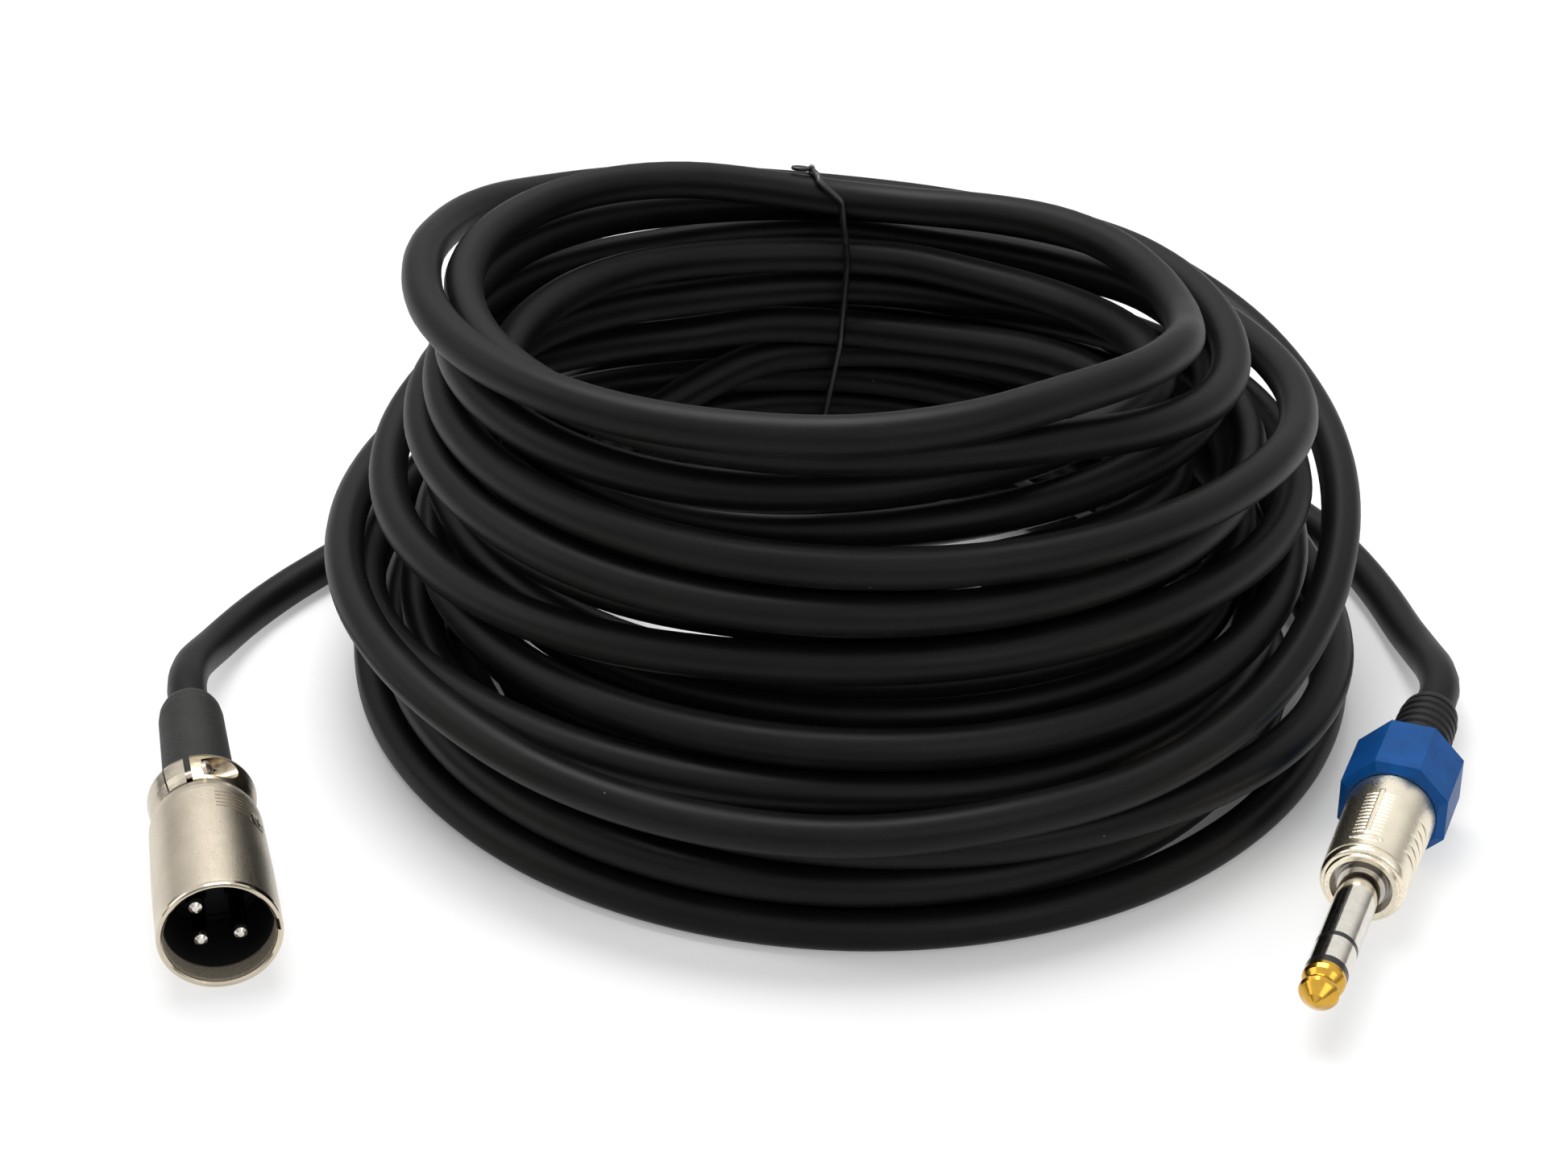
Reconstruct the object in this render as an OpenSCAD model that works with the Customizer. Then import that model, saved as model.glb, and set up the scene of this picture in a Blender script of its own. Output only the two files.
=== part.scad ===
// Coiled balanced audio cable with a three-pin male plug at one end and a
// 6.35 mm three-contact plug at the other. Millimetres, +Z up, stands on Z = 0.

/* [Cable] */

// Outside diameter of the cable's jacket
cable_d = 6.4; // [6:0.1:6.6]
// Outside diameter of each insulated core
core_d = 1.5; // [1.2:0.1:1.6]

/* [Coil] */

// Mean radius of the winding at the floor
coil_r = 75; // [73:1:77]
// Whole loops in the winding
loops = 21; // [18:1:21]
// Least gap kept between neighbouring loops
loop_gap = 0.6; // [0.5:0.05:0.8]
// How far the lower loops swing in and out
loop_swing = 10.5; // [8:0.5:11]
// How far the pile leans inward towards its top
pile_taper = 16.8; // [14:0.2:18]
// How high the last loops stand at the back where nothing lifts them
pile_loft = 59; // [50:1:60]
// Depth of the flat where the coil rests, as a share of the cable's diameter
rest_flat = 0.1; // [0.05:0.01:0.12]

/* [Tie] */

// Diameter of the coated wire tie
tie_d = 1.2; // [0.9:0.1:1.4]

/* [Three-pin plug] */

// Outside diameter of the shell at its mouth
xlr_d = 18.4; // [18:0.1:19]
// Depth of the cup from the mouth to the insert
xlr_cup = 15.5; // [14:0.5:16]
// Length of the insert
xlr_insert_l = 8.5; // [8:0.25:9]
// Diameter of the contact pins
pin_d = 2.4; // [2.3:0.05:2.5]
// Radius of the circle that the pins stand on
pin_circle = 4.1; // [4:0.05:4.3]
// How far the pin tips stay behind the mouth
pin_recess = 3.6; // [3:0.2:5]
// Length of the boot behind the collar
xlr_boot_l = 26.5; // [22:0.5:28]
// Width of the split between the collar's halves
collar_gap = 1.0; // [0.6:0.1:1.2]

/* [Jack plug] */

// Diameter of the plug's shank
shank_d = 6.35; // [6.3:0.01:6.4]
// Length of the shank in front of the barrel
shank_l = 30; // [29:0.5:31]
// Diameter of the barrel where it meets the nut
barrel_d = 13.8; // [13.4:0.1:14.2]
// Length of the barrel in front of the nut
barrel_l = 21.5; // [20:0.5:23]
// Nut size across flats
nut_af = 16.6; // [16.2:0.1:17.2]
// Length of the nut
nut_l = 13.8; // [13.4:0.1:14.6]
// Length of the ribbed boot behind the nut
jack_boot_l = 17; // [14:0.5:18]
// Radial clearance between the nut and what it turns on
turn_gap = 0.05; // [0.03:0.01:0.08]

/* [Hidden] */

// the object's own origin, under the middle of its box
middle = [4.9, 3.1, 0];
cable_r = cable_d / 2;
pitch = cable_d + loop_gap;
steps = 24;
coil_mid = [9.7, 13.0];
coil_start = 165;
turns = loops + 0.375;
last = round(turns * steps);
tie_step = 5;
black = "#1b1b1a";
nickel = "#b8b0a2";

// ---- small helpers -------------------------------------------------------

function ease(t) = let (c = max(0, min(1, t))) c * c * (3 - 2 * c);
function keyed(k, x, i = 0) =
  x <= k[0][0] ? k[0][1] : i >= len(k) - 1 ? k[len(k) - 1][1] :
  x <= k[i + 1][0] ? k[i][1] + (k[i + 1][1] - k[i][1]) * ease((x - k[i][0]) / (k[i + 1][0] - k[i][0])) :
  keyed(k, x, i + 1);
function unit(v) = v / norm(v);
function heading(a) = [cos(a), sin(a), 0];

// a ring of n points round p, square to t, that never dips under the floor
function ring(p, t, r, n, fl, up) = let (s = unit(cross(t, up)), b = cross(s, t))
  [for (k = [0:n - 1]) let (q = p + r * (cos(360 * k / n) * s + sin(360 * k / n) * b))
    [q[0], q[1], fl ? max(0, q[2]) : q[2]]];
function flow(p, i, a, z) = let (m = len(p) - 1)
  i == 0 ? a : i == m ? z : unit(p[i + 1] - p[i - 1]);

// a tube through the points p, leaving along a and arriving along z
module tube(p, r, n, a, z, fl = false, up = [0, 0, 1]) {
  m = len(p);
  pts = [for (i = [0:m - 1]) each ring(p[i], flow(p, i, a, z), r, n, fl, up)];
  polyhedron(points = pts, convexity = 10, faces = concat(
    [[for (k = [n - 1:-1:0]) k]],
    [for (i = [0:m - 2], k = [0:n - 1]) let (c = (k + 1) % n) each
      [[i * n + k, i * n + c, (i + 1) * n + c], [i * n + k, (i + 1) * n + c, (i + 1) * n + k]]],
    [[for (k = [0:n - 1]) (m - 1) * n + k]]));
}

// smooth curve through hand-set points, q steps to each span
function spline(p, q) = let (m = len(p) - 1) concat(
  [for (i = [0:m - 1], j = [0:q - 1]) let (t = j / q,
    a = p[max(0, i - 1)], b = p[i], c = p[i + 1], d = p[min(m, i + 2)])
    0.5 * (2 * b + (c - a) * t + (2 * a - 5 * b + 4 * c - d) * t * t + (3 * b - a - 3 * c + d) * t * t * t)],
  [p[m]]);

// ---- the winding ---------------------------------------------------------

// Loops are laid one after another, clockwise from above. The radius wanders
// as a hand does; each loop then rests on whatever already lies under it.
top_r = [[-2.9, -10.7], [-2.667, -14], [-2.417, -13.9], [-2.167, -24.9], [-1.917, -21.3],
  [-1.78, -13.8], [-1.667, -9.1], [-1.417, -7.2], [-1.167, 1.7], [-1, 7.4], [-0.917, 7], [-0.667, 16],
  [-0.417, 7.9], [-0.25, 11], [-0.06, 16], [0, 17]];
top_z = [[-2.417, 0], [-2.3, 44.2], [-2.167, 42.4], [-1.917, 46.6], [-1.667, 66.3], [-1.417, 66.5],
  [-1.167, 48.7], [-0.917, 33.4], [-0.75, 0]];

function wind_r(i) = let (u = i / steps, m = u / turns, w = coil_start - 360 * u, s = turns - u,
  free = coil_r - 0.5 - pile_taper * m
    + loop_swing * (1 + 0.27 * sin(w)) * (1 - 0.25 * m) * sin(98.5 * u + 17)
    + 3.3 * sin(427.6 * u + 312) + 2.1 * sin(730.1 * u + 325)
    + (0.4 - 1.6 * m) * cos(w) + (0.7 * m - 5.3) * sin(w) - 1.6 * cos(2 * w),
  t = s < 3 ? ease((3 - s) / 0.25) : 0,
  body = free * (1 - t) + t * (coil_r + keyed(top_r, -s)),
  e = ease(u / 0.15)) body * e + (1 - e) * (coil_r + 17 - 150 * u);

// springy cable stands up off the pile at the back, the later the loop the more
function loft(q) = let (u = q / steps, s = turns - u) ease(u / turns) * ease((s - 0.6) / 0.8)
  * (pile_loft / 2 * (1 + sin(coil_start - 357.5 * u + 49)) + 1.6 * sin(223.3 * u + 2));

function on_floor(i) = cable_r - rest_flat * cable_d * ease(min(i, last - i) / 4)
  + (tie_d + 0.35) * [1, 0.4, 0][min(2, abs(i % steps - tie_step))];

function prop(i, rr, zz) = let (q = max(0, min(last, i)), s = turns - q / steps)
  max(concat([on_floor(q), loft(q), s < 3 ? keyed(top_z, -s) : 0],
    [for (j = [q - steps:-steps:0]) let (d = abs(rr[q] - rr[j])) if (d < pitch) zz[j] + sqrt(pitch * pitch - d * d)]));

function lay(rr, zz, i) = i > last ? zz : lay(rr, concat(zz, [let (b = [for (k = [-2:2]) prop(i + k, rr, zz)])
  (max(b[0], b[1], b[2]) + max(b[1], b[2], b[3]) + max(b[2], b[3], b[4])) / 3]), i + 1);

function place(r, z, i) = let (w = coil_start - 360 * i / steps)
  [coil_mid[0] + r * cos(w), coil_mid[1] + r * sin(w), z];

function winding() = let (rr = [for (i = [0:last]) wind_r(i)], zz = lay(rr, [], 0))
  [for (i = [0:last]) place(rr[i], zz[i], i)];

// where the winding's two ends lie and which way the cable runs through them
in_dir = heading(55);
out_dir = heading(-60);
first_pt = place(wind_r(0), cable_r, 0);
last_pt = place(wind_r(last), cable_r, last);

module cable_coil() {
  p = winding();
  gap = min([for (i = [0:last - 12]) min([for (j = [i + 12:last]) norm(p[i] - p[j])])]) - cable_d;
  echo(loop_gap_left = gap);
  color(black) tube(concat([p[0] - cable_d * in_dir], p, [p[last] + cable_d * out_dir]),
    cable_r, 6, in_dir, out_dir, true);
}

// the tie runs round the whole bundle at the back, as tight as a string
module coil_tie() {
  p = winding();
  c = [for (i = [tie_step:steps:last]) [p[i][1], p[i][2]]];
  off = cable_r + tie_d / 2 + 0.25;
  x = coil_mid[0];
  path = [for (k = [0:35]) let (d = [cos(10 * k), sin(10 * k)], f = [for (q = c) q * d],
    b = c[[for (i = [0:len(c) - 1]) if (f[i] == max(f)) i][0]])
    [x, b[0] + off * d[0], max(tie_d / 2, b[1] + off * d[1])]];
  m = len(path);
  n = 6;
  pts = [for (i = [0:m - 1]) let (t = unit(path[(i + 1) % m] - path[(i + m - 1) % m]), s = cross(t, [1, 0, 0]))
    each [for (k = [0:n - 1]) let (q = path[i] + tie_d / 2 * (cos(60 * k + 30) * s + sin(60 * k + 30) * [1, 0, 0]))
      [q[0], q[1], max(0, q[2])]]];
  color(black) polyhedron(points = pts, convexity = 4,
    faces = [for (i = [0:m - 1], k = [0:n - 1]) let (c = (k + 1) % n, j = (i + 1) % m) each
      [[i * n + k, i * n + c, j * n + c], [i * n + k, j * n + c, j * n + k]]]);
}

// ---- where the plugs lie ---------------------------------------------------

xlr_r = xlr_d / 2;
bore_r = xlr_r - 1.1;
seat = xlr_cup + xlr_insert_l;
throat_r = bore_r - 1.1;
tube_end = seat + 6;
xlr_collar_end = tube_end + 6.5;

// the winding's left, right and front edges, which the plugs lie beside
left = coil_mid[0] - coil_r;
right = coil_mid[0] + coil_r;
front = coil_mid[1] - coil_r;

xlr_at = [left - 16.1, front - 22.7, xlr_d / 2];
xlr_yaw = 13;
jack_at = [right + 0.7, front - 9.5, nut_af / 2];
jack_yaw = -21.2;

// in a plug's own frame +Z points out of its mouth and +Y is up
module at_xlr() { translate(xlr_at) rotate([0, 0, xlr_yaw]) rotate([90, 0, 0]) children(); }
module at_jack() { translate(jack_at) rotate([0, 0, jack_yaw]) rotate([90, 0, 0]) children(); }
function back(at, yaw, s) = at + s * heading(yaw + 90);

// how far behind the mouth or barrel face each jacket is cut, and how far the
// cable runs straight behind its boot before it may bend
xlr_jacket = tube_end + 3;
jack_jacket = 17;
xlr_straight = xlr_collar_end + xlr_boot_l + 6;
jack_straight = barrel_l + nut_l + jack_boot_l + 6.7;

module cable_tail_xlr() {
  a = back(xlr_at, xlr_yaw, xlr_jacket);
  b = back(xlr_at, xlr_yaw, xlr_straight);
  e = first_pt - cable_d * in_dir;
  way = spline([b, [left - 32.5, -8, 7.6], [left - 30.9, 4, 4.6], [left - 26.3, 17.5, cable_r], e - 5.5 * in_dir, e], 2);
  color(black) tube(concat([a, back(xlr_at, xlr_yaw, xlr_straight - cable_d)], way), cable_r, 10,
    heading(xlr_yaw + 90), in_dir, true);
}

module cable_tail_jack() {
  a = back(jack_at, jack_yaw, jack_jacket);
  b = back(jack_at, jack_yaw, jack_straight);
  e = last_pt + cable_d * out_dir;
  way = spline([b, [right + 22.9, -8.5, 7.2], [right + 22.5, 1, 5], [right + 21.3, 11, 3.5], [right + 19.5, 22, cable_r],
    [right + 16.8, 33, cable_r], e + 6 * out_dir, e], 2);
  color(black) tube(concat([a, back(jack_at, jack_yaw, jack_straight - cable_d)], way), cable_r, 10,
    heading(jack_yaw + 90), -out_dir, true);
}

// ---- three-pin plug ---------------------------------------------------------

screw_turn = 29;
screw_s = seat - 2.5;
key_turn = 5;
pin_turn = [138, 318, 228];
shoulder_r = pin_d / 2 + 0.4;
clamp_turn = 12;
clamp_y = 6.4;
clamp_x = 2.2;
clamp_s = tube_end + 3.4;
collar_bore = throat_r - 0.6;
function shell_r(s) = s < 13 ? xlr_r - 0.15 * s / 13 : xlr_r - 0.15 - 0.55 * (s - 13) / 17;

// both halves of the flared rear collar, whole, before they are split
module collar(g) {
  difference() {
    union() {
      rotate_extrude($fn = 96) polygon([[collar_bore, -tube_end - g], [xlr_r - 1.6, -tube_end - g],
        [xlr_r - 1.7, -tube_end - 0.7], [xlr_r - 1.5, -tube_end - 1.6], [xlr_r - 1.2, -tube_end - 2.8],
        [xlr_r - 1, -tube_end - 4.2], [xlr_r - 0.85, -tube_end - 5.6], [xlr_r - 0.95, -xlr_collar_end + 0.3],
        [xlr_r - 1.25, -xlr_collar_end], [collar_bore, -xlr_collar_end]]);
      translate([0, 0, -tube_end - 5]) cylinder(r = collar_bore + 0.2, h = 4, $fn = 96);
    }
    translate([0, 0, -tube_end - 6]) cylinder(r = cable_r, h = 6, $fn = 64);
  }
}

// hole and countersink for the screw that holds the insert
module screw_seat() {
  rotate([0, 0, screw_turn]) translate([0, 0, -screw_s]) rotate([0, 90, 0]) {
    translate([0, 0, bore_r - 2.8]) cylinder(r = 1, h = 7, $fn = 32);
    translate([0, 0, shell_r(screw_s) - 0.95]) cylinder(r1 = 1, r2 = 2.05, h = 1.05, $fn = 48);
  }
}

module xlr_shell() {
  color(nickel) at_xlr() difference() {
    union() {
      rotate_extrude($fn = 96) polygon([[bore_r, -0.8], [bore_r + 0.2, -0.3], [bore_r + 0.45, -0.05],
        [xlr_r - 0.4, 0], [xlr_r - 0.15, -0.1], [xlr_r - 0.03, -0.35], [xlr_r, -0.8],
        [shell_r(13), -13], [shell_r(tube_end - 3.4), -tube_end + 3.4], [xlr_r - 0.68, -tube_end + 2.4],
        [xlr_r - 0.9, -tube_end + 1.5], [xlr_r - 1.2, -tube_end + 0.7], [xlr_r - 1.6, -tube_end],
        [throat_r, -tube_end], [throat_r, -seat], [bore_r, -seat]]);
      rotate([0, 0, clamp_turn]) intersection() {
        collar(0);
        translate([collar_gap / 2, -20, -xlr_collar_end - 1]) cube([20, 40, 9]);
      }
    }
    // key slot down the inside of the cup
    rotate([0, 0, key_turn]) translate([bore_r - 0.3, -1, -xlr_cup]) cube([0.9, 2, xlr_cup + 1]);
    // countersunk hole for the insert's screw
    screw_seat();
    // fine lines round the back of the tube
    for (k = [0:4]) translate([0, 0, -tube_end + 4.6 + k]) rotate([0, 0, 22])
      rotate_extrude(angle = 56, $fn = 96) translate([shell_r(tube_end - 4.6 - k) - 0.13, 0]) square([1, 0.28]);
    // scallops of the fixed clamp half, where the screw heads seat
    rotate([0, 0, clamp_turn]) for (s = [-1, 1]) translate([0, s * clamp_y, -clamp_s]) rotate([0, 90, 0]) {
      cylinder(r = 1.05, h = 5, $fn = 32);
      translate([0, 0, clamp_x]) cylinder(r = 2.1, h = 8, $fn = 48);
    }
  }
}

// loose half, tapped for both screws, with the steps where its tabs begin
module xlr_clamp_saddle() {
  color("#c4beb2") at_xlr() rotate([0, 0, clamp_turn]) difference() {
    intersection() {
      collar(0.2);
      translate([-20 - collar_gap / 2, -20, -xlr_collar_end - 1]) cube([20, 40, 9]);
    }
    for (s = [-1, 1]) translate([0, s * clamp_y, -clamp_s]) rotate([0, -90, 0]) cylinder(r = 1, h = 3.1, $fn = 32);
    for (a = [28, 152]) rotate([0, 0, a]) translate([-0.15, xlr_r - 1.9, -xlr_collar_end - 1]) cube([0.3, 3, 9]);
  }
}

// pan head with a cross, shank along +X, seated at x = 0
module clamp_screw() {
  difference() {
    rotate([0, 90, 0]) rotate_extrude($fn = 40) polygon([[0, -1.3], [0.8, -1.28], [1.4, -1.05], [1.75, -0.6],
      [1.75, 0], [0.97, 0], [0.97, 4.8], [0.6, 5.2], [0, 5.2]]);
    for (a = [0, 90]) rotate([a, 0, 0]) translate([-1.6, -0.18, -1]) cube([1, 0.36, 2]);
  }
}
module xlr_clamp_screw_top() {
  color(nickel) at_xlr() rotate([0, 0, clamp_turn]) translate([clamp_x, clamp_y, -clamp_s]) rotate([0, 0, 180]) clamp_screw();
}
module xlr_clamp_screw_bottom() {
  color(nickel) at_xlr() rotate([0, 0, clamp_turn]) translate([clamp_x, -clamp_y, -clamp_s]) rotate([0, 0, 180]) clamp_screw();
}

module xlr_insert() {
  color("#141414") at_xlr() difference() {
    translate([0, 0, -seat]) cylinder(r = bore_r - 0.1, h = xlr_insert_l, $fn = 96);
    for (a = pin_turn) rotate([0, 0, a]) translate([pin_circle, 0, -seat - 1]) cylinder(r = shoulder_r, h = xlr_insert_l + 2, $fn = 40);
    screw_seat();
    rotate_extrude($fn = 96) translate([bore_r - 1.3, -xlr_cup - 0.6]) square([0.5, 1]);
  }
}

module xlr_insert_screw() {
  h = shell_r(screw_s);
  color(nickel) at_xlr() rotate([0, 0, screw_turn]) translate([0, 0, -screw_s]) rotate([0, 90, 0]) difference() {
    rotate_extrude($fn = 40) polygon([[0, bore_r - 2.6], [0.93, bore_r - 2.6], [0.93, h - 0.95],
      [1.85, h - 0.08], [1.5, h + 0.02], [0, h + 0.06]]);
    for (a = [0, 90]) rotate([0, 0, a]) translate([-1.1, -0.19, h - 0.5]) cube([2.2, 0.38, 1]);
  }
}

module contact_pin(k) {
  tail = seat + 4.5;
  at_xlr() rotate([0, 0, pin_turn[k - 1]]) translate([pin_circle, 0, 0]) difference() {
    rotate_extrude($fn = 48) polygon([[0, -tail], [1.5, -tail], [1.5, -seat], [shoulder_r, -seat],
      [shoulder_r, -xlr_cup], [pin_d / 2, -xlr_cup], [pin_d / 2, -pin_recess - 0.9], [pin_d * 0.4, -pin_recess - 0.35], [pin_d * 0.2, -pin_recess - 0.06], [0, -pin_recess]]);
    translate([0, 0, -tail - 1]) cylinder(r = core_d / 2 + 0.2, h = 4.6, $fn = 32);
    translate([0, -1, -tail - 1]) cube([2, 2, 3.2]);
  }
}
module xlr_pin_1() { color("#c9c2b4") contact_pin(1); }
module xlr_pin_2() { color("#c9c2b4") contact_pin(2); }
module xlr_pin_3() { color("#c9c2b4") contact_pin(3); }

module xlr_boot() {
  r = cable_r + 2.45;
  z = -xlr_collar_end;
  color("#2b2b29") at_xlr() rotate_extrude($fn = 64) polygon([[cable_r + 0.15, z + 1.5], [r + 0.2, z + 1.5], [r + 0.2, z - 0.1],
    [r - 0.05, z - 0.4], [r - 0.5, z - xlr_boot_l + 4], [r - 0.75, z - xlr_boot_l + 2], [r - 1.2, z - xlr_boot_l + 0.7],
    [r - 1.7, z - xlr_boot_l], [cable_r + 0.15, z - xlr_boot_l]]);
}

// a lead from the cut jacket forward into the solder cup of pin k
module xlr_lead(k, r) {
  u = heading(pin_turn[k - 1]);
  color(k == 2 ? "#b3231f" : k == 3 ? "#e8e6df" : "#b87b4b") at_xlr()
    tube(spline([1.45 * u - [0, 0, xlr_jacket], 1.45 * u - [0, 0, xlr_jacket - 1.3], 2.7 * u - [0, 0, xlr_jacket - 3],
      (pin_circle - 0.1) * u - [0, 0, seat + 4.4], pin_circle * u - [0, 0, seat + 2.4]], 2), r, 8, [0, 0, 1], [0, 0, 1], false, [0, 1, 0]);
}
module xlr_core_hot() { xlr_lead(2, core_d / 2); }
module xlr_core_cold() { xlr_lead(3, core_d / 2); }
module xlr_shield_lead() { xlr_lead(1, core_d / 2 - 0.1); }

// ---- jack plug ---------------------------------------------------------------

sr = shank_d / 2;
br = barrel_d / 2;
tip_z = shank_l - 6.4;
ring_z = tip_z - 1.4;
ring_back = ring_z - 5.1;
sleeve_end = ring_back - 1;
liner_r = br - 1.6;
nut_z = -barrel_l + 0.3;
nut_end = nut_z - nut_l;
thread_r = br - 0.7;
thread_end = -barrel_l - 5.5;

// thin stepped body of revolution
module turned(p, n = 64) { rotate_extrude($fn = n) polygon(p); }

module jack_tip() {
  color("#d8a021") at_jack() union() {
    turned([[0, -8.6], [1.9, -8.6], [1.9, -8], [0.75, -8], [0.75, tip_z], [sr, tip_z], [sr, tip_z + 0.7], [sr - 0.25, tip_z + 1.4],
      [sr - 0.9, tip_z + 2.2], [sr - 0.75, tip_z + 2.7], [sr - 0.35, tip_z + 3.2], [sr - 0.22, tip_z + 3.7], [sr - 0.5, tip_z + 4.2],
      [1.2, tip_z + 5.7], [0.3, tip_z + 6.3], [0, tip_z + 6.4]]);
    translate([-1, 1.3, -12]) cube([2, 0.6, 3.6]);
  }
}

module jack_tip_insulator() {
  color("#101010") at_jack() turned([[0.75, -8], [2.3, -8], [2.3, -7.4], [1.15, -7.4], [1.15, ring_z], [sr, ring_z], [sr, tip_z], [0.75, tip_z]]);
}

module jack_ring() {
  color("#cfc8ba") at_jack() union() {
    turned([[1.15, -7.4], [2.9, -7.4], [2.9, -6.8], [1.6, -6.8], [1.6, ring_back], [sr, ring_back], [sr, ring_z], [1.15, ring_z]]);
    translate([-1, -2.9, -11]) cube([2, 0.6, 3.8]);
  }
}

module jack_ring_insulator() {
  color("#101010") at_jack() turned([[1.6, -6.8], [3.2, -6.8], [3.2, -6], [2.05, -6], [2.05, sleeve_end], [sr, sleeve_end], [sr, ring_back], [1.6, ring_back]]);
}

module jack_sleeve() {
  color("#cfc8ba") at_jack() turned([[2.05, -6], [2.95, -6], [2.95, -4], [liner_r - 0.05, -4], [liner_r - 0.05, -1.7], [4, -1.7],
    [4, -0.9], [3.6, -0.9], [3.6, -0.2], [sr, -0.2], [sr, sleeve_end], [2.05, sleeve_end]]);
}

// ring, leg and claw that clamp the cable and carry its shield
module jack_ground_strip() {
  color("#c9c2b4") at_jack() difference() {
    union() {
      translate([0, 0, -4.6]) cylinder(r = liner_r - 0.9, h = 0.6, $fn = 48);
      translate([-1.5, -cable_r - 0.6, -jack_jacket - 3.5]) cube([3, 0.6, jack_jacket - 0.5]);
      intersection() {
        translate([0, 0, -jack_jacket - 3.5]) cylinder(r = cable_r + 0.6, h = 3, $fn = 64);
        translate([-6, -6, -jack_jacket - 3.5]) cube([12, 7, 3]);
      }
    }
    translate([0, 0, -5]) cylinder(r = 3, h = 2, $fn = 48);
    translate([0, 0, -jack_jacket - 4]) cylinder(r = cable_r, h = 4, $fn = 64);
  }
}

module jack_liner() {
  color("#232323") at_jack() translate([0, 0, -barrel_l]) difference() {
    cylinder(r = liner_r - 0.1, h = barrel_l - 4, $fn = 64);
    translate([0, 0, -1]) cylinder(r = liner_r - 0.6, h = barrel_l, $fn = 64);
  }
}

function barrel_r(s) = br - 0.4 + 0.4 * s / barrel_l;
module jack_barrel() {
  color(nickel) at_jack() difference() {
    turned([[4.7, 0], [br - 1.45, 0], [br - 1.25, -0.2], [br - 1.2, -0.5], [br - 1, -0.5], [br - 0.7, -0.65], [br - 0.45, -1.1],
      [br - 0.4, -1.7], [br - 0.55, -1.8], [br - 0.55, -2.1], [barrel_r(2.2), -2.2], [br, -barrel_l], [thread_r, -barrel_l],
      [thread_r, thread_end], [liner_r, thread_end], [liner_r, -1.7], [4.7, -1.7]], 96);
    // grip lines on either side, stepped like a stair
    for (k = [0:4], s = [-1, 1]) translate([0, 0, -6.5 - 1.15 * k]) rotate([0, 0, s > 0 ? 12 : 118 + 5 * k])
      rotate_extrude(angle = 50 - 5 * k, $fn = 96) translate([barrel_r(6.5 + 1.15 * k) - 0.18, -0.18]) square([1, 0.36]);
  }
}

module jack_chuck() {
  z = thread_end;
  color("#e7e4da") at_jack() difference() {
    turned([[cable_r + 0.05, z - 4.6], [4.7, z - 4.6], [liner_r + 0.3, z - 1.2], [liner_r + 0.3, z], [liner_r - 0.1, z],
      [liner_r - 0.1, z + 2.4], [cable_r + 0.05, z + 2.4]]);
    for (a = [45, 135]) rotate([0, 0, a]) translate([-9, -0.4, z - 5]) cube([18, 0.8, 3.4]);
  }
}

module octagon(r1, r2, h) { rotate([0, 0, 22.5]) cylinder(r1 = r1 / cos(22.5), r2 = r2 / cos(22.5), h = h, $fn = 8); }
module jack_gland_nut() {
  a = nut_af / 2;
  color("#1f5aa8") at_jack() difference() {
    union() {
      // each bevel runs on inside the straight flats, so that the three join in one
      translate([0, 0, nut_end + 0.5]) octagon(a, a, nut_l - 1.4);
      intersection() {
        translate([0, 0, nut_end]) octagon(a - 0.5, a + 0.5, 1);
        translate([0, 0, nut_end]) octagon(a, a, 1);
      }
      intersection() {
        translate([0, 0, nut_z - 1.8]) octagon(2 * a - br - 0.2, br + 0.2, 1.8);
        translate([0, 0, nut_z - 1.8]) octagon(a, a, 1.8);
      }
    }
    translate([0, 0, -barrel_l]) cylinder(r = br + 0.1, h = 5, $fn = 64);
    translate([0, 0, thread_end - 0.8]) cylinder(r = thread_r + turn_gap, h = 12, $fn = 64);
    translate([0, 0, nut_end + 1.4]) cylinder(r = thread_r - 0.5, h = 12, $fn = 64);
    translate([0, 0, nut_end - 1]) cylinder(r = boot_r + turn_gap, h = 12, $fn = 64);
  }
}

boot_r = 4.9;
boot_ribs = 7;
module jack_boot() {
  z = nut_end;
  w = jack_boot_l - 2.2;
  color("#222221") at_jack() difference() {
    turned(concat([[0, z + 3.1], [thread_r - 0.6, z + 3.1], [thread_r - 0.6, z + 1.5], [boot_r, z + 1.5], [boot_r, z - 0.1]],
      [for (k = [0:boot_ribs - 1]) let (a = z - 0.1 - w * k / boot_ribs, b = w / boot_ribs, r = 5.2 - 0.5 * k / boot_ribs) each
        [[r, a - 0.15 * b], [r + 0.02, a - 0.6 * b], [r - 0.42, a - 0.75 * b], [r - 0.42, a - b]]],
      [[4.55, z - w - 0.2], [4.5, z - w - 1.1], [4.2, z - w - 1.8], [3.9, z - jack_boot_l], [0, z - jack_boot_l]]));
    translate([0, 0, z - jack_boot_l - 1]) cylinder(r = cable_r + 0.3, h = jack_boot_l + 6, $fn = 64);
  }
}

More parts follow.
